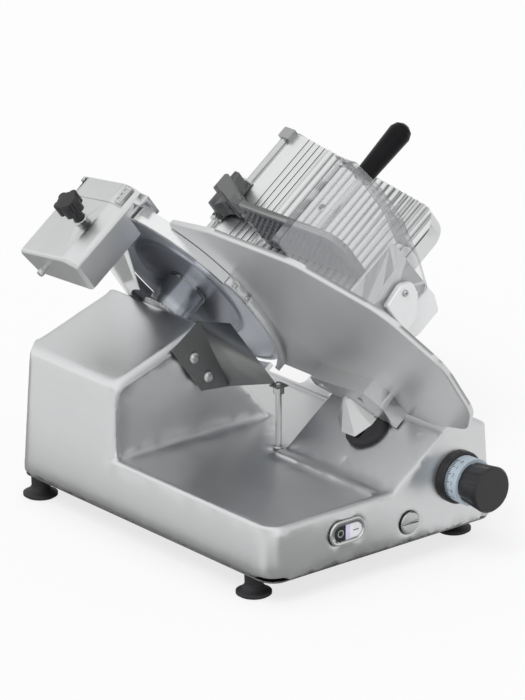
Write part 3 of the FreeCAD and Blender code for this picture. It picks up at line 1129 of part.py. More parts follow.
HOOD_CREST_Y, HOOD_CREST_RISE, HOOD_REAR_DROP = 26.0, 4.0, 19.0


def roof_height(y):
    """Height of the hood's outer roof behind its crest."""
    share = (y - SHARP_Y0 - HOOD_CREST_Y) / (SHARP_Y1 - SHARP_Y0 - HOOD_CREST_Y)
    return SHARP_W1 + HOOD_CREST_RISE - share * (HOOD_CREST_RISE + HOOD_REAR_DROP)


def sharpener_cover():
    """Cast hood over the blade's top edge: sloping roof, raised step, lip and a guide sleeve."""
    n0, n1, y0, y1 = SHARP_N0, SHARP_N1, SHARP_Y0, SHARP_Y1
    low, top, wall = SHARP_W0, SHARP_W1, SHARP_WALL

    def hood(inset, extra):
        return [(y0 + inset, low - extra, 0), (y0 + inset, top - inset, 8.0 - inset),
                (y0 + HOOD_CREST_Y, top + HOOD_CREST_RISE - inset, 20.0),
                (y1 - inset, top - HOOD_REAR_DROP - inset, 9.0 - inset),
                (y1 - 14 - inset, low - 11 - extra, 0)]

    roof = prism(hood(0.0, 0.0), "yz", n0, n1)
    ends = edges_where(roof, lambda e: e.BoundBox.XMax < n0 + 0.1 and edge_middle(e).z > top - 22)
    roof = roof.makeFillet(5.0, ends)
    step = prism(hood(2.0, -30.0), "yz", n1 - 31, n1)
    step.translate(Vector(0, 0, STEP_HEIGHT))
    lip = box(n1 - 5, n1, y0 - 14, y0 + 4, top - 34, top - 4)
    flap = box(n1 - 16, n1, y0 - 14, y0 + 4, top - 8, top - 4)
    inside = prism(hood(wall, 30.0), "yz", n0 + wall, n1 - wall)
    hoop_top = BLADE_RADIUS + RING_CLEAR + RING_WALL + 2.0
    slot = box(RING_BACK_N - 3, n1 - 5, y0 - 20, y1 + 5, low - 20, hoop_top)
    rear = box(POST_N - 12, RING_BACK_N - 2, y0 + 20, y1 + 5, low - 20, hoop_top - 15)
    sleeve_low = POST_SEAT_W + BODY_GAP
    roof_w = roof_height(POST_Y)
    sleeve = rod((POST_N, POST_Y, sleeve_low), (POST_N, POST_Y, roof_w - wall / 2),
                 POST_RADIUS + 3)
    bore = rod((POST_N, POST_Y, sleeve_low - 1), (POST_N, POST_Y, roof_w - wall),
               POST_RADIUS + RUNNING)
    knob_hole = rod((KNOB_N, KNOB_Y, low), (KNOB_N, KNOB_Y, top + 20), 3.5 + RUNNING)
    seat = rod((KNOB_N, KNOB_Y, top - 8), (KNOB_N, KNOB_Y, KNOB_SEAT_W), 9.0)
    shell = cut(fuse(roof, step, lip, flap), inside, slot, rear)
    spindles = [stone_spindle(y) for y in stone_places()]
    pin = rod((n0 - 5, PIN_Y, PIN_W), (n0 + 10, PIN_Y, PIN_W), 3.0)
    return tilted(cut(fuse(shell, seat, sleeve), bore, knob_hole, pin, latch_strip(), *spindles))


def stone_places():
    return (KNOB_Y - 18.0, KNOB_Y + 22.0)


def stone_spindle(y):
    """Spindle from under the stone to the middle of the roof's wall."""
    return rod((STONE_N, y, STONE_W - 6), (STONE_N, y, roof_height(y) - SHARP_WALL / 2), 2.5)


def sharpener_stones():
    """Two grinding stones on spindles that hang from the hood's roof."""
    stones = []
    for y in stone_places():
        disc = rod((STONE_N, y, STONE_W - 4), (STONE_N, y, STONE_W + 5), STONE_RADIUS)
        stones.append(tilted(fuse(disc, stone_spindle(y))))
    return Part.Compound(stones)


def lobed_knob():
    """Clamp knob with five lobes on a waisted stem."""
    base = KNOB_SEAT_W + BODY_GAP
    stem = cone((KNOB_N, KNOB_Y, base), (KNOB_N, KNOB_Y, base + 18), 8.0, 6.5)
    head = rod((KNOB_N, KNOB_Y, base + 17), (KNOB_N, KNOB_Y, base + 36), 13.0)
    lobes = []
    for i in range(5):
        angle = 2 * math.pi * i / 5
        n, y = KNOB_N + 12 * math.cos(angle), KNOB_Y + 12 * math.sin(angle)
        lobes.append(rod((n, y, base + 18), (n, y, base + 35), 6.0))
    shank = rod((KNOB_N, KNOB_Y, SHARP_W0 + 30), (KNOB_N, KNOB_Y, base + 4), 3.5)
    return tilted(fuse(stem, head, shank, *lobes))


def sharpener_latch():
    """Slotted spring strip across the step."""
    n, y, top = SHARP_N1 - 20.0, SHARP_Y0 + LATCH_Y, LATCH_TOP_W
    slots = [box(n - 5 + 7 * i, n - 1 + 7 * i, y - 4, y + 4, top - 1.0, top + 3)
             for i in range(3)]
    return tilted(cut(latch_strip(), *slots))


def latch_strip():
    """The strip before its slots are cut; the hood has a pocket of this shape."""
    n, y = SHARP_N1 - 20.0, SHARP_Y0 + LATCH_Y
    return box(n - 9, n + 17, y - 6, y + 6, LATCH_TOP_W - LATCH_THICK, LATCH_TOP_W)


def sharpener_pin():
    """Push pin at the low end of the hood that presses the stones on."""
    pin = turned([(-12.0, 0.0), (-12.0, 4.0), (-10.0, 5.0), (-5.0, 5.0), (-4.0, 3.0), (8.0, 3.0),
                  (8.0, 0.0)], (SHARP_N0, PIN_Y, PIN_W), (1, 0, 0))
    return tilted(pin)


def sharpener():
    add("sharpener_cover", sharpener_cover())
    add("sharpener_knob", lobed_knob())
    add("sharpener_latch", sharpener_latch())
    add("sharpener_pin", sharpener_pin())
    add("sharpener_stones", sharpener_stones())
    guide_top = POST_SEAT_W + SHARP_LIFT + 3 * POST_RADIUS
    guide = rod((POST_N, POST_Y, POST_SEAT_W - 20), (POST_N, POST_Y, guide_top), POST_RADIUS)
    add("sharpener_guide", tilted(guide))


# ---- The whole machine ----------------------------------------------------------------------

def build():
    """Makes every piece and moves all of them by one shift."""
    add("base_casting", base_casting())
    underside()
    drive()
    guards()
    gauge()
    controls()
    carriage()
    pusher()
    sharpener()
    for name, shape in PARTS.items():
        PARTS[name] = shape.translated(SHIFT)


if __name__ == "__main__":
    build()
    for name, shape in PARTS.items():
        shape.exportStep("parts/" + name + ".step")
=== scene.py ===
# %% [markdown]
# # A gravity-feed meat slicer
# The machine is a polished aluminium casting with a slanted round knife, a tilted table on a
# slide, a clear hand guard, a sharpener and a few black plastic handles. Nearly all that the eye
# sees is bare metal, so this lesson is mostly about metal: how a polished casting, a ground
# knife and a brushed sheet differ although all three are grey.
#
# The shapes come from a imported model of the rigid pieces. This file gives them smooth shading,
# finishes, printed marks, light and a camera.

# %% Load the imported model
import json
import math
import bmesh
import bpy
import numpy as np
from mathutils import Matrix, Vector


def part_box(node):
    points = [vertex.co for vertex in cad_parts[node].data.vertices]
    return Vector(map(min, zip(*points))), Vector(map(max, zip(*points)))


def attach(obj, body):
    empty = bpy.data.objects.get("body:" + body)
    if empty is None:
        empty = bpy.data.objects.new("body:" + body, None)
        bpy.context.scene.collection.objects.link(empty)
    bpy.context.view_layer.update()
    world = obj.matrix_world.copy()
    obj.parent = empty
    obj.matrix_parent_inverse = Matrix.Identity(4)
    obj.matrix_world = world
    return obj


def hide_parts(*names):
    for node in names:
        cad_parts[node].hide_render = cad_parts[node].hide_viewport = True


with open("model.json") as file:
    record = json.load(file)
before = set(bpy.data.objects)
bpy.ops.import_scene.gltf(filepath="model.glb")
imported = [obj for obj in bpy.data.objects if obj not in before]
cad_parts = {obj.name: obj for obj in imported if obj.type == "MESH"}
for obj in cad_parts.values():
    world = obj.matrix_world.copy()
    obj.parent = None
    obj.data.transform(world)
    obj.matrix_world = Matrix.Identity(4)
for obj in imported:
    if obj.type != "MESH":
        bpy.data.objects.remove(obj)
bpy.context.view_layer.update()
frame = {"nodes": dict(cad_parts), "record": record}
body_of = {node: body for body, nodes in frame["record"]["behaviour"]["bodies"].items()
           for node in nodes}
slot_of = {part["node"]: part["material_slot"] for part in frame["record"]["subparts"]}
print("nodes", len(frame["nodes"]))


def add_object(name, data):
    """A new object in the scene, at the origin, that shows the data."""
    made = bpy.data.objects.new(name, data)
    bpy.context.scene.collection.objects.link(made)
    return made


# %% [markdown]
# ## Shader sums in Python
# A shader is a graph of nodes, and a graph of sums is hard to read. A small class wraps a socket
# and overloads + - * and **, so that `0.4 + 0.1 * grain` adds the Math nodes by itself. Colours
# go through Mix nodes, because a Math node would turn them grey.

# %% A socket that can be used in sums
class Wire:
    """An output socket of one finish. Arithmetic with it adds Math nodes."""

    def __init__(self, finish, socket):
        self.finish, self.socket = finish, socket

    def math(self, operation, *values):
        """A Math node on wires and numbers."""
        inputs = dict(enumerate(values))
        return self.finish.node("ShaderNodeMath", {"operation": operation}, inputs)

    def __add__(self, other):
        return self.math("ADD", self, other)

    def __radd__(self, other):
        return self.math("ADD", other, self)

    def __sub__(self, other):
        return self.math("SUBTRACT", self, other)

    def __rsub__(self, other):
        return self.math("SUBTRACT", other, self)

    def __mul__(self, other):
        return self.math("MULTIPLY", self, other)

    def __rmul__(self, other):
        return self.math("MULTIPLY", other, self)

    def __pow__(self, other):
        return self.math("POWER", self, other)


# %% A material and its nodes
EVEN, UNTURNED = (1.0, 1.0, 1.0), (0.0, 0.0, 0.0)


class Finish:
    """A material around one Principled shader."""

    def __init__(self, name, **constant):
        self.material = bpy.data.materials.new(name)
        self.material.use_nodes = True
        self.tree = self.material.node_tree
        self.shader = self.tree.nodes["Principled BSDF"]
        for socket, value in constant.items():
            self.shader.inputs[socket.replace("_", " ")].default_value = value

    def node(self, kind, settings=None, inputs=None, output=0):
        """Adds a node: its settings first, then a value or a wire for each named socket."""
        made = self.tree.nodes.new(kind)
        for key, value in (settings or {}).items():
            if key == "stops":
                ramp = made.color_ramp
                while len(ramp.elements) < len(value):
                    ramp.elements.new(1.0)
                for stop, (place, shade) in zip(ramp.elements, value):
                    stop.position, stop.color = place, shade
            else:
                setattr(made, key, value)
        for key, value in (inputs or {}).items():
            if isinstance(value, Wire):
                self.tree.links.new(value.socket, made.inputs[key])
            else:
                made.inputs[key].default_value = value
        return Wire(self, made.outputs[output])

    def feed(self, socket, wire):
        """Links a wire to one of the shader's own sockets."""
        self.tree.links.new(wire.socket, self.shader.inputs[socket])

    def place(self, stretch=EVEN, turn=UNTURNED):
        """Object coordinates in metres, turned, then scaled along each axis."""
        here = self.node("ShaderNodeTexCoord", output="Object")
        turned = self.node("ShaderNodeMapping", None, {"Vector": here, "Rotation": turn})
        return self.node("ShaderNodeMapping", None, {"Vector": turned, "Scale": stretch})

    def noise(self, scale, detail=3.0, stretch=EVEN, turn=UNTURNED):
        """Cloudy pattern from 0 to 1, with scale cells to a metre."""
        return self.node("ShaderNodeTexNoise", None,
                         {"Vector": self.place(stretch, turn), "Scale": scale, "Detail": detail})

    def mix(self, share, low, high):
        """A colour between two, by a share from 0 to 1."""
        return self.node("ShaderNodeMix", {"data_type": "RGBA"},
                         {0: share, 6: low, 7: high}, output=2)

    def bump(self, height, depth):
        """Bends the surface's light by a height pattern from 0 to 1, with its depth in metres."""
        self.feed("Normal", self.node("ShaderNodeBump", None,
                                      {"Height": height, "Distance": depth}))

    def crevice(self, reach):
        """How open the surface lies to its surroundings: 1 on a flat face, less in a groove."""
        return self.node("ShaderNodeAmbientOcclusion", {"samples": 6, "only_local": True},
                         {"Distance": reach}, output="AO")


# %% Shades, steps and lines
def grey(level, tint=(1.0, 1.0, 1.0)):
    """A colour of one brightness, times a tint."""
    return (level * tint[0], level * tint[1], level * tint[2], 1.0)


def step_up(wire, low, high):
    """A smooth share: 0 below the first value, 1 above the second."""
    return wire.finish.node("ShaderNodeMapRange", {"interpolation_type": "SMOOTHSTEP"},
                            {"Value": wire, "From Min": low, "From Max": high})


def larger(one, other):
    """The larger of two wires at each point."""
    return one.math("MAXIMUM", one, other)


def lines_along(axes, share):
    """Scales for a noise that is drawn out along some axes, where it has a share of its cells."""
    return tuple(share if axis in axes else 1.0 for axis in "xyz")


# %% [markdown]
# ## Bare metal
# Metal has hardly any colour of its own beyond a tint on what it mirrors, so the finishes differ
# in brightness, roughness and grain. One function makes all but the knife: broad clouds, fine
# lines where a noise is drawn out along the way of the tool, and a small grain. Scanned
# scratches would do it too, but noise in object coordinates has no seams and no end. Grooves
# and crevices get painted shade: an Ambient Occlusion node darkens the colour there.

# %% The knife's axis
spin = next(joint for joint in frame["record"]["behaviour"]["joints"]
            if joint["name"] == "blade_spin")
CENTRE, AXIS = Vector(spin["pos_m"]), Vector(spin["axis"])
LEAN = (0.0, math.atan2(AXIS.z, AXIS.x), 0.0)
print("the knife's axis is turned by", round(math.degrees(LEAN[1]), 1), "degrees")

# %% Worked metal
COOL = (0.985, 0.995, 1.0)
CLOUD_CELLS, LINE_CELLS, GRAIN_CELLS = 9.0, 260.0, 1400.0
CLOUD_SHADE, LINE_HEIGHT = 0.6, 0.6
ROUGH_START, ROUGH_CLOUDS, ROUGH_LINES = -0.06, 0.07, 0.08


def cast_finish(name, level, rough, stretch=EVEN, turn=UNTURNED, contrast=0.05, metallic=1.0,
                painted_crevice_shade=0.35, reach=0.008, depth=0.00002, openness=(0.15, 0.85)):
    """Worked metal: broad clouds in the colour, fine lines one way, and painted shade in its
    grooves.

    The painted crevice shade is the share of the brightness that a groove keeps, reach is how far
    in metres a crevice is looked for, and openness says where full painted dark ends and plain
    metal begins.
    """
    metal = Finish(name, Metallic=metallic)
    cloud = metal.noise(CLOUD_CELLS)
    lines = metal.noise(LINE_CELLS, 4.0, stretch, turn)
    grain = metal.noise(GRAIN_CELLS, detail=2.0)
    shade = metal.mix(CLOUD_SHADE * cloud + (1.0 - CLOUD_SHADE) * lines,
                      grey(level - contrast, COOL), grey(level + contrast, COOL))
    # Painted shade: the colour darkens where an Ambient Occlusion node finds the surface closed
    # in.
    if painted_crevice_shade < 1.0:
        open_part = step_up(metal.crevice(reach), *openness)
        shade = metal.mix(open_part, grey(level * painted_crevice_shade, COOL), shade)
    metal.feed("Base Color", shade)
    metal.feed("Roughness", rough + ROUGH_START + ROUGH_CLOUDS * cloud + ROUGH_LINES * lines)
    metal.bump(LINE_HEIGHT * lines + (1.0 - LINE_HEIGHT) * grain, depth)
    return metal.material


# %% [markdown]
# ## The ground knife
# The knife is ground while it turns, so its lines are circles round its axis, and its bevelled
# outer ring is paler than its middle. The middle's darker bluish colour is a painted reflection
# of the dark hub and tower. An anisotropic shader would draw the highlights out, but the circles
# themselves are wanted here, so the noise has one dimension: the distance from the axis, in
# metres.

# %% Knife steel
LATHE_CELLS, LATHE_DEPTH = 900.0, 0.00001
RING_STARTS, RING_FULL = 0.086, 0.091
MIDDLE_PAINTED_REFLECTION, RING_SHADE = (0.36, 0.38, 0.44, 1.0), (0.86, 0.90, 0.98, 1.0)
LINE_SHADE, LINE_SHARE = (0.80, 0.84, 0.92, 1.0), 0.35


def from_axis(finish):
    """Distance from the knife's axis: the way to its centre, less the part along the axis."""
    here = finish.node("ShaderNodeTexCoord", output="Object")
    apart = finish.node("ShaderNodeVectorMath", {"operation": "SUBTRACT"},
                        {0: here, 1: tuple(CENTRE)})
    out = finish.node("ShaderNodeVectorMath", {"operation": "DOT_PRODUCT"},
                      {0: apart, 1: tuple(AXIS)}, output="Value")
    length = finish.node("ShaderNodeVectorMath", {"operation": "LENGTH"}, {0: apart},
                         output="Value")
    return (length * length - out * out) ** 0.5


def knife_finish(name):
    """Ground steel: lathe lines in circles, a pale outer ring, and a middle darkened as a painted
    reflection.
    """
    metal = Finish(name, Metallic=0.6)
    far = from_axis(metal)
    lines = metal.node("ShaderNodeTexNoise", {"noise_dimensions": "1D"},
                       {"W": far, "Scale": LATHE_CELLS, "Detail": 3.0})
    # Painted reflection: inside the ground ring the colour is a darker bluish grey, as if it
    # mirrored the dark hub.
    shade = metal.mix(step_up(far, RING_STARTS, RING_FULL), MIDDLE_PAINTED_REFLECTION, RING_SHADE)
    metal.feed("Base Color", metal.mix(LINE_SHARE * lines, shade, LINE_SHADE))
    metal.feed("Roughness", 0.20 + 0.10 * lines)
    metal.bump(lines, LATHE_DEPTH)
    return metal.material


# %% A metal for each slot
finish_of = {
    "cast_aluminium": cast_finish("polished casting", 0.76, 0.31, lines_along("xy", 0.15)),
    "satin_aluminium": cast_finish("satin plate", 0.72, 0.34, lines_along("y", 0.12), LEAN,
                                   metallic=0.75),
    "steel_sheet": cast_finish("brushed sheet", 0.24, 0.36, lines_along("y", 0.1)),
    "steel": cast_finish("turned steel", 0.60, 0.16, contrast=0.12),
    "blade_steel": knife_finish("ground knife steel"),
    "motor_iron": cast_finish("motor iron", 0.30, 0.5),
}
# Pieces whose finish differs from that of the rest of their slot
own_finish = {
    "base_casting": cast_finish("polished body", 0.76, 0.31, lines_along("xy", 0.15),
                                painted_crevice_shade=1.0, depth=0.000008),
    "sharpener_cover": cast_finish("hood casting", 0.72, 0.30, lines_along("xz", 0.15), LEAN,
                                   contrast=0.09),
    "pusher_arm": cast_finish("sand-cast arm", 0.17, 0.42, contrast=0.06),
    "pusher_plate": cast_finish("sand-cast plate", 0.34, 0.42, contrast=0.09),
    "spindle_housing": cast_finish("turned housing", 0.86, 0.15, contrast=0.06, painted_crevice_shade=0.2,
                                   reach=0.01),
    "food_table": cast_finish("ribbed table", 0.80, 0.31, lines_along("y", 0.1), LEAN,
                              painted_crevice_shade=0.22, openness=(0.66, 1.0)),
    "ring_guard": cast_finish("buffed hoop", 0.84, 0.17, lines_along("y", 0.3), contrast=0.08),
    "rod_blocks": cast_finish("sand-cast blocks", 0.42, 0.40, contrast=0.06),
    "carriage_wall": cast_finish("linished wall", 0.92, 0.34, lines_along("z", 0.2),
                                 metallic=0.5, painted_crevice_shade=0.6),
    "switch_bezel": cast_finish("plated rim", 0.80, 0.20, painted_crevice_shade=1.0),
    "gauge_arm": cast_finish("cast gauge arm", 0.70, 0.32, lines_along("y", 0.3),
                             contrast=0.08, metallic=0.85),
}
print("metals", len(finish_of) + len(own_finish))

# %% [markdown]
# ## Plastic, rubber and stone
# Handles, buttons, feet and stones have one flat colour each, and what tells them apart is gloss
# and grain. One function serves them all: the gloss clouds over slightly, as it does on plastic
# that hands have touched, and a fine bump gives the leather grain of the mould. A black is never
# quite zero. Its form shows in its gloss, which is lower on the pusher's handle.

# %% Plastic, rubber and stone finishes
TOUCH_CELLS, LEATHER_CELLS = 60.0, 1800.0
BRIGHTER, LIFT = 1.25, 0.004
CLOUDED_GLOSS = 0.1


def moulded_finish(name, colour, rough, grain_depth, shine=0.5):
    """Moulded plastic or rubber: flat colour, slight clouding in the gloss, leather grain."""
    skin = Finish(name, Roughness=rough, Specular_IOR_Level=shine)
    cloud = skin.noise(TOUCH_CELLS, detail=2.0)
    grain = skin.noise(LEATHER_CELLS, detail=2.0)
    bright = tuple(min(1.0, c * BRIGHTER + LIFT) for c in colour[:3]) + (1.0,)
    skin.feed("Base Color", skin.mix(cloud, colour, bright))
    skin.feed("Roughness", rough - CLOUDED_GLOSS / 2 + CLOUDED_GLOSS * cloud)
    skin.bump(grain, grain_depth)
    return skin.material


finish_of.update({
    "rubber": moulded_finish("foot rubber", (0.018, 0.018, 0.02, 1), 0.6, 0.00004),
    "belt_rubber": moulded_finish("belt rubber", (0.02, 0.02, 0.02, 1), 0.7, 0.00004),
    "black_plastic": moulded_finish("black plastic", (0.012, 0.012, 0.014, 1), 0.33, 0.00003),
    "white_plastic": moulded_finish("white button", (0.72, 0.73, 0.75, 1), 0.3, 0.00001),
    "scale_plastic": moulded_finish("scale ring", (0.44, 0.52, 0.59, 1), 0.4, 0.00001),
    "lamp_plastic": moulded_finish("lamp strip", (0.62, 0.58, 0.78, 1), 0.3, 0.00001),
    "abrasive": moulded_finish("grinding stone", (0.35, 0.28, 0.22, 1), 0.9, 0.0002),
})
own_finish["pusher_grip"] = moulded_finish("glossy handle", (0.002, 0.002, 0.003, 1), 0.22,
                                           0.00001, shine=0.15)
print("slots with a finish", len(finish_of))

# %% [markdown]
# ## The clear hand guard
# The guard is a shield of clear plastic before the knife. Refracting glass would be the physical
# way, but it takes many bounces of light. Here the plastic is see-through by its alpha: low on
# the two broad faces, higher on the rim, whose faces look sideways, and highest in a thin line
# on each sharp edge. Such an edge is where two normals disagree, the face's own and one that a
# Bevel node has rounded, and its line is painted shade, nearly black. Soft ripples in the colour
# are painted reflections that stand for the warp of the sheet.

# %% Clear plastic
EDGE_RADIUS, RIPPLE_CELLS, HAZE_CELLS = 0.0016, 60.0, 18.0
FACE_ALPHA, HAZE_ALPHA, RIM_ALPHA, EDGE_ALPHA = 0.20, 0.08, 0.14, 0.6
# Colours of the painted reflections, which are the ripples, and of the painted shade, which is
# the edge line.
RIPPLE_REFLECTION_DARK, RIPPLE_REFLECTION_PALE = (0.25, 0.26, 0.27, 1), (0.66, 0.68, 0.70, 1)
RIM_SHADE, EDGE_PAINTED_SHADE = (0.74, 0.76, 0.78, 1), (0.05, 0.055, 0.06, 1)

clear = Finish("clear guard", Roughness=0.06, IOR=1.46)
side_on = clear.node("ShaderNodeSeparateXYZ", None,
                     {0: clear.node("ShaderNodeTexCoord", output="Normal")}, output="Y")
rim = 1.0 - step_up(side_on * side_on, 0.1, 0.6)
ripple = clear.noise(RIPPLE_CELLS, 1.0, lines_along("yz", 0.3), LEAN)
facing = clear.node("ShaderNodeNewGeometry", output="True Normal")
rounded = clear.node("ShaderNodeBevel", {"samples": 8}, {"Radius": EDGE_RADIUS})
agree = clear.node("ShaderNodeVectorMath", {"operation": "DOT_PRODUCT"},
                   {0: facing, 1: rounded}, output="Value")
edge = 1.0 - step_up(agree, 0.90, 0.99)
haze = clear.noise(HAZE_CELLS, detail=2.0)
# Painted reflections in ripples of dark and pale grey, and painted shade in a nearly black line
# on each sharp edge.
sheet = clear.mix(step_up(ripple, 0.40, 0.60), RIPPLE_REFLECTION_DARK, RIPPLE_REFLECTION_PALE)
clear.feed("Base Color", clear.mix(edge, clear.mix(rim, RIM_SHADE, sheet), EDGE_PAINTED_SHADE))
clear.feed("Alpha", larger(FACE_ALPHA + HAZE_ALPHA * haze + RIM_ALPHA * rim, EDGE_ALPHA * edge))
finish_of["clear_plastic"] = clear.material
print("clear guard, shader nodes", len(clear.tree.nodes))

# %% [markdown]
# ## Soft edges for the body
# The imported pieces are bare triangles, so each visible one is shown by a copy with smooth
# shading. The body's copy needs more, because a casting that has been linished has no sharp edge
# left. A Bevel modifier works on clean edges between broad faces, and a net of triangles has few.
# So the copy gets a fine net of vertices, and then both the places and the normals of these
# vertices spread a little to their neighbours, as heat does. The middle of a flat face stays
# flat, because all neighbours lie in it. At an edge the surface rounds off.

# %% Spreading over a mesh
LONGEST, FLAT_ANGLE, HALVINGS = {"base_casting": 0.0105}, 0.005, 7
PLACE_ROUNDS, NORMAL_ROUNDS, SHORTEST = 4, 9, 0.0005


def refine(shell, longest):
    """Halves each edge that is longer than the limit, and turns the diagonals of flat faces."""
    for _ in range(HALVINGS):
        edges = [edge for edge in shell.edges if edge.calc_length() > longest]
        bmesh.ops.subdivide_edges(shell, edges=edges, cuts=1)
        bmesh.ops.triangulate(shell, faces=shell.faces)
        inner = [edge for edge in shell.edges
                 if edge.is_manifold and edge.calc_face_angle() < FLAT_ANGLE]
        bmesh.ops.beautify_fill(shell, faces=shell.faces, edges=inner)


def spread(values, ends, weight, rounds):
    """Each round, a vertex takes half its own value and half its neighbours' weighted mean."""
    one, other = ends.T
    count = len(values)

    def gather(amount):
        return (np.bincount(one, weight * amount[other], count)
                + np.bincount(other, weight * amount[one], count))

    total = gather(np.ones(count))
    for _ in range(rounds):
        mean = np.stack([gather(column) / total for column in values.T], 1)
        values = 0.5 * values + 0.5 * mean
    return values


def read_values(collection, key, width, kind=np.float64):
    """One value or vector of each vertex or edge, as the rows of an array."""
    flat = np.zeros(len(collection) * width, kind)
    collection.foreach_get(key, flat)
    return flat.reshape(-1, width)


def soften(mesh):
    """Spreads the places, then the normals, with short edges weighing more."""
    places = read_values(mesh.vertices, "co", 3)
    ends = read_values(mesh.edges, "vertices", 2, np.int32)
    length = np.linalg.norm(places[ends[:, 0]] - places[ends[:, 1]], axis=1)
    weight = 1.0 / np.maximum(length, SHORTEST)
    mesh.vertices.foreach_set("co", spread(places, ends, weight, PLACE_ROUNDS).ravel())
    mesh.update()
    mesh.shade_smooth()
    normals = spread(read_values(mesh.vertices, "normal", 3), ends, weight, NORMAL_ROUNDS)
    normals /= np.linalg.norm(normals, axis=1)[:, None]
    mesh.normals_split_custom_set_from_vertices(normals.tolist())


# %% [markdown]
# ## Smooth copies
# A machined piece is smooth round its bores and crisp at its edges. Its copy has its triangles
# merged, breaks the shading only where faces meet at a real angle, and weights its normals by
# area, so that a flat face beside a fillet stays flat in the light. The motor, the belt, their
# bracket and the gauge's guide are inside the body, so they keep their own triangles and get a
# finish alone.

# %% Copies
SMOOTH_ANGLE = math.radians(32.0)
MERGE = 0.00002
HIDDEN = {"drive_belt", "motor_rotor", "motor_stator", "drive_bracket", "gauge_guide"}


def smooth_copy(node):
    """Merges the copy's triangles, then softens it or marks its sharp edges, and dresses it."""
    mesh = frame["nodes"][node].data.copy()
    mesh.name = node + "_skin"
    piece = add_object(node + "_skin", mesh)
    shell = bmesh.new()
    shell.from_mesh(mesh)
    bmesh.ops.remove_doubles(shell, verts=shell.verts, dist=MERGE)
    if node in LONGEST:
        refine(shell, LONGEST[node])
    shell.to_mesh(mesh)
    shell.free()
    if node in LONGEST:
        soften(mesh)
        print(node, "faces", len(mesh.polygons))
    else:
        mesh.shade_smooth()
        mesh.set_sharp_from_angle(angle=SMOOTH_ANGLE)
        weighted = piece.modifiers.new("weighted", "WEIGHTED_NORMAL")
        weighted.keep_sharp = True
    mesh.materials.clear()
    mesh.materials.append(own_finish.get(node, finish_of[slot_of[node]]))
    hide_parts(node)
    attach(piece, body_of[node])


for node, cad in frame["nodes"].items():
    if node in HIDDEN:
        cad.data.materials.clear()
        cad.data.materials.append(finish_of[slot_of[node]])
    else:
        smooth_copy(node)
print("smooth copies", len(frame["nodes"]) - len(HIDDEN))

# %% [markdown]
# ## Printed marks
# The dial's scale and the signs on the two buttons are ink, far thinner than anything that is
# modelled as a solid. A painted picture would do, but marks that are meshes stay sharp from any
# distance. Each sign or tick is a grid of points just above its surface: 0.06 mm above a button,
# and 0.20 mm above the dial, where lower marks were partly hidden.

# %% Grids of points as surfaces
MM = 0.001
INK_RISE, SCALE_RISE = 0.06 * MM, 0.20 * MM
FADE_CELLS, FADE = 2500.0, 0.05


def surface(name, points, finish, body):
    """Joins a grid of points, shaped (patches, rows, columns, 3), into quads."""
    points = np.asarray(points, float)
    patches, rows, columns = points.shape[:3]
    index = np.arange(patches * rows * columns).reshape(patches, rows, columns)
    quads = np.stack([index[:, :-1, :-1], index[:, 1:, :-1], index[:, 1:, 1:],
                      index[:, :-1, 1:]], -1).reshape(-1, 4)
    mesh = bpy.data.meshes.new(name)
    mesh.from_pydata(points.reshape(-1, 3).tolist(), [], quads.tolist())
    mesh.materials.append(finish)
    mesh.shade_smooth()
    piece = add_object(name, mesh)
    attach(piece, body)
    print(name, "quads", len(quads))


def ink_finish(name, colour):
    """Dull ink, a little lighter where it has worn."""
    ink = Finish(name, Roughness=0.5)
    lighter = tuple(min(1.0, c + FADE) for c in colour[:3]) + (1.0,)
    ink.feed("Base Color", ink.mix(ink.noise(FADE_CELLS, detail=2.0), colour, lighter))
    return ink.material


dark_ink = ink_finish("dark ink", (0.02, 0.03, 0.05, 1))
green_ink = ink_finish("green ink", (0.30, 0.36, 0.34, 1))
grey_ink = ink_finish("grey ink", (0.10, 0.10, 0.12, 1))

# %% [markdown]
# ## The dial's scale
# The thickness dial carries a ring of ticks, every fifth one long, on a shallow cone between its
# step and the knob. All ticks are patches of one surface: two places along the cone and two
# angles round it give the four corners of each.

# %% Ticks on the cone
scale_low, scale_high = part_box("dial_scale")
dial_x = (scale_low.x + scale_high.x) / 2
dial_z = (scale_low.z + scale_high.z) / 2
RING_RADIUS, NECK_RADIUS, COLLAR_LENGTH = 29.7 * MM, 30.0 * MM, 7.0 * MM
scale_front, scale_step = scale_low.y, scale_high.y - COLLAR_LENGTH
DIVISIONS, DIVISION_DEG, LONG_EVERY = 75, 4.0, 5
SCALE_START_DEG = 112.0
TICK_START, LONG_TICK, SHORT_TICK, TICK_WIDTH = 0.06, 0.34, 0.20, 1.0 * MM


def on_scale(along, angle):
    """A point of the cone: radius and y go evenly from step to knob, the angle round its axis."""
    radius = RING_RADIUS + (NECK_RADIUS - RING_RADIUS) * along + SCALE_RISE
    y = scale_step + (scale_front - scale_step) * along
    return np.stack([dial_x + radius * np.cos(angle), y + 0 * radius,
                     dial_z + radius * np.sin(angle)], -1)


number = np.arange(DIVISIONS + 1)
length = np.where(number % LONG_EVERY == 0, LONG_TICK, SHORT_TICK)[:, None, None]
rows = TICK_START + length * np.array([0.0, 1.0])[None, :, None]
middle = np.radians(SCALE_START_DEG + DIVISION_DEG * number)[:, None, None]
wide = np.array([-0.5, 0.5])[None, None, :] * TICK_WIDTH / RING_RADIUS
along, angle = np.broadcast_arrays(rows, middle + wide)
surface("dial_ticks", on_scale(along, angle), dark_ink, "dial")

# %% [markdown]
# ## The dial's numbers
# Each long tick has its number. Blender's text is a flat curve, so it is made a mesh first, and
# then its points are wrapped on the cone with the same formula as the ticks.

# %% Numbers on the cone
NUMBER_HEIGHT, NUMBER_ALONG, HALF_A_LINE_DEG = 7.0 * MM, 0.60, 4.0


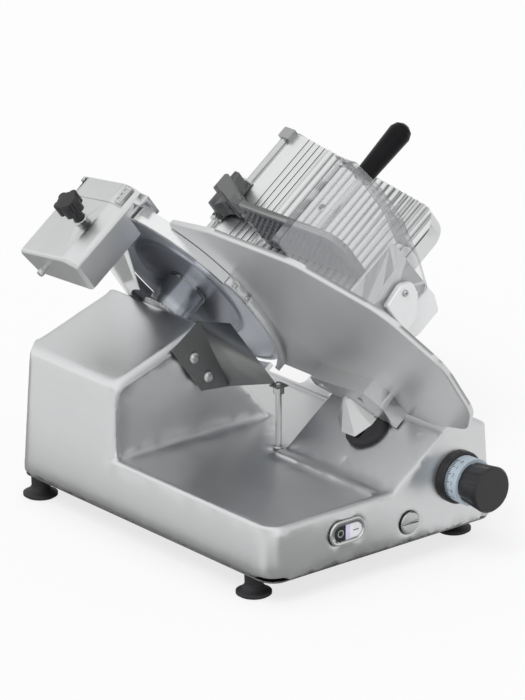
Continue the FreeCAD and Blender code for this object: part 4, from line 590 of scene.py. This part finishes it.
def scale_number(value, centre):
    """Text made a mesh, then wrapped: its x becomes a place on the axis and its y an angle."""
    text = bpy.data.curves.new("number", "FONT")
    text.body, text.size, text.align_x = str(value), NUMBER_HEIGHT, "CENTER"
    drawn = add_object("number", text)
    bpy.context.view_layer.update()
    mesh = bpy.data.meshes.new_from_object(drawn.evaluated_get(
        bpy.context.evaluated_depsgraph_get()))
    bpy.data.objects.remove(drawn)
    flat = read_values(mesh.vertices, "co", 3)
    along = NUMBER_ALONG + flat[:, 0] / (scale_step - scale_front)
    mesh.vertices.foreach_set("co", on_scale(along, centre + flat[:, 1] / RING_RADIUS).ravel())
    mesh.materials.append(dark_ink)
    piece = add_object("dial_number_%d" % value, mesh)
    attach(piece, "dial")


for value in range(DIVISIONS // LONG_EVERY + 1):
    turned_deg = SCALE_START_DEG + DIVISION_DEG * LONG_EVERY * value
    scale_number(value, math.radians(turned_deg - HALF_A_LINE_DEG))
print("dial numbers", DIVISIONS // LONG_EVERY + 1)

# %% [markdown]
# ## Signs on the buttons
# The stop button has a ring and the start button a bar, the plain signs for off and on. The ring
# is two radii at each angle, the bar two lengths at two heights.

# %% A ring and a bar
RING_RADII, RING_STEPS, RING_SHIFT = np.array([3.6, 4.9]) * MM, 48, 1.0 * MM
BAR_ACROSS, BAR_TALL, BAR_SHIFT = 9.0 * MM, 1.4 * MM, -0.5 * MM
BOTH_SIDES = np.array([-0.5, 0.5])


def button_front(node):
    """The middle of a button's front face, as far before it as the ink stands proud."""
    low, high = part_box(node)
    return (low.x + high.x) / 2, low.y - INK_RISE, (low.z + high.z) / 2


x, y, z = button_front("stop_button")
turn = np.linspace(0, 2 * math.pi, RING_STEPS + 1)[None, :, None]
ring = RING_RADII[None, None, :]
surface("stop_sign", np.stack(np.broadcast_arrays(x + RING_SHIFT + ring * np.cos(turn), y,
                                                  z - ring * np.sin(turn)), -1),
        green_ink, "stop_button")
x, y, z = button_front("start_button")
across = BOTH_SIDES[None, :, None] * BAR_ACROSS
tall = BOTH_SIDES[None, None, :] * BAR_TALL
surface("start_sign", np.stack(np.broadcast_arrays(x + BAR_SHIFT + across, y, z + tall), -1),
        grey_ink, "start_button")

# %% [markdown]
# ## The floor
# The floor is a sheet of white paper without an end. To the camera it glows, so that it runs
# into the sky, and it still takes the object's shadow. Bare metal looks like what it mirrors,
# and in a white room it has no form, so mirrors see a greyer floor with two patches of painted
# shade on it, like dark cards: a strip along the body's left wall and a patch before its near
# corner. In a studio, black cards stand beside silver for the same reason.

# %% Paper and painted shade
REACH, FLOOR_GLOW, MIRRORED_GLOW = 30.0, 0.75, 0.35
PAPER_SHADE, MIRRORED_SHADE, PAINTED_CARD_GREY = grey(0.98), grey(0.78), grey(0.28)
body_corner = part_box("base_casting")[0]
STRIP_BEGINS, STRIP_ENDS = (body_corner.x - 0.20, body_corner.x - 0.02), (0.0, 0.1)
STRIP_SHARE = 0.9
PATCH_AT, PATCH_ENDS = (body_corner.x - 0.10, body_corner.y - 0.08, 0.0), (0.05, 0.14)


def ray_kinds(finish):
    """Three shares, each 1 for one kind of ray: from the camera, from gloss, through glass."""
    return [finish.node("ShaderNodeLightPath", output=kind)
            for kind in ("Is Camera Ray", "Is Glossy Ray", "Is Transmission Ray")]


floor_mesh = bpy.data.meshes.new("floor")
floor_mesh.from_pydata([(-REACH, -REACH, 0), (REACH, -REACH, 0), (REACH, REACH, 0),
                        (-REACH, REACH, 0)], [], [(0, 1, 2, 3)])
floor = add_object("floor", floor_mesh)
paper = Finish("white paper", Roughness=1.0)
seen, mirrored, through = ray_kinds(paper)
here = paper.node("ShaderNodeTexCoord", output="Object")
aside = paper.node("ShaderNodeSeparateXYZ", None, {0: here}, output="X")
strip = step_up(aside, *STRIP_BEGINS) * (1.0 - step_up(aside, *STRIP_ENDS))
apart = paper.node("ShaderNodeVectorMath", {"operation": "SUBTRACT"}, {0: here, 1: PATCH_AT})
away = paper.node("ShaderNodeVectorMath", {"operation": "LENGTH"}, {0: apart}, output="Value")
patch = 1.0 - step_up(away, *PATCH_ENDS)
# Painted shade on the paper, seen only in mirrors: a strip along the body's left wall and a patch
# before its near corner.
painted_card_shade = mirrored * larger(STRIP_SHARE * strip, patch)
pale = paper.mix(mirrored, PAPER_SHADE, MIRRORED_SHADE)
paper.feed("Base Color", paper.mix(painted_card_shade, pale, PAINTED_CARD_GREY))
glow = paper.node("ShaderNodeEmission", None, {"Color": grey(1.0), "Strength": 1.0})
lit = Wire(paper, paper.shader.outputs[0])
share = FLOOR_GLOW * (seen + through) + MIRRORED_GLOW * (mirrored - painted_card_shade)
look = paper.node("ShaderNodeMixShader", None, {0: share, 1: lit, 2: glow})
paper.tree.links.new(look.socket, paper.tree.nodes["Material Output"].inputs["Surface"])
floor_mesh.materials.append(paper.material)
print("floor", 2 * REACH, "m across")

# %% [markdown]
# ## The sky
# An even white sky is the softest lamp there is. It is white to the camera, and dimmer as a
# light. Mirrors see it in broad bands from side to side, white left of the middle and grey
# towards both sides, with slow waves in them, so that a polished wall shows a gradient, as it
# does in a room.

# %% Sky
SKY_LIGHT = 0.6
STUDIO_BANDS = [(0.0, grey(0.75)), (0.3, grey(1.0)), (0.45, grey(1.0)), (0.63, grey(0.74)),
                (0.8, grey(0.72)), (1.0, grey(0.72))]
WAVE_CELLS, WAVE_SHARE = 1.6, 0.2


class Sky(Finish):
    """The same sums and nodes, for the world's own graph."""

    def __init__(self, name):
        self.world = bpy.data.worlds.new(name)
        self.world.use_nodes = True
        self.tree = self.world.node_tree
        self.shader = self.tree.nodes["Background"]


sky = Sky("studio")
bpy.context.scene.world = sky.world
seen, mirrored, through = ray_kinds(sky)
heading = sky.node("ShaderNodeTexCoord", output="Generated")
sideways = sky.node("ShaderNodeSeparateXYZ", None, {0: heading}, output="X")
waves = sky.node("ShaderNodeTexNoise", None,
                 {"Vector": heading, "Scale": WAVE_CELLS, "Detail": 1.0})
band = sky.node("ShaderNodeValToRGB", {"stops": STUDIO_BANDS},
                {"Fac": 0.5 + 0.5 * sideways + WAVE_SHARE * (waves - 0.5)})
sky.feed("Color", sky.mix(mirrored, grey(1.0), band))
sky.feed("Strength", SKY_LIGHT + (1.0 - SKY_LIGHT) * (seen + mirrored + through))
print("sky bands", len(STUDIO_BANDS))

# %% [markdown]
# ## The sun
# One broad sun gives the shadows a side. Mirrors don't see it, because its disc would burn a
# white spot into the polished metal.

# %% Sun
SUN_STRENGTH, SUN_WIDTH_DEG, SUN_TILT_DEG, SUN_TURN_DEG = 1.4, 35, 38, -60
sun = bpy.data.lights.new("sun", "SUN")
sun.energy, sun.angle = SUN_STRENGTH, math.radians(SUN_WIDTH_DEG)
sun_object = add_object("sun", sun)
sun_object.rotation_euler = (math.radians(SUN_TILT_DEG), 0, math.radians(SUN_TURN_DEG))
sun_object.visible_glossy = False
print("sun strength", SUN_STRENGTH)

# %% [markdown]
# ## The camera
# A long lens from six metres away keeps parallel lines nearly parallel, as in a catalogue. The
# camera looks down a little, at a point inside the machine.

# %% Camera
VIEW_TURN_DEG, VIEW_DROP_DEG, VIEW_DISTANCE = 39.8, 19.8, 6.2
LENS_MM, FILM_MM, FARTHEST = 257.14, 36.0, 200.0
AIM = Vector((-0.1168, -0.0576, 0.2577))
turn, drop = math.radians(VIEW_TURN_DEG), math.radians(VIEW_DROP_DEG)
forward = Vector((math.sin(turn) * math.cos(drop), math.cos(turn) * math.cos(drop),
                  -math.sin(drop)))
lens = bpy.data.cameras.new("lens")
lens.lens, lens.sensor_width, lens.sensor_fit = LENS_MM, FILM_MM, "AUTO"
lens.clip_end = FARTHEST
camera = add_object("camera", lens)
camera.location = AIM - forward * VIEW_DISTANCE
camera.rotation_euler = forward.to_track_quat("-Z", "Y").to_euler()
bpy.context.scene.camera = camera
bpy.context.scene.view_settings.view_transform = "Standard"
print("camera at", tuple(round(value, 2) for value in camera.location))
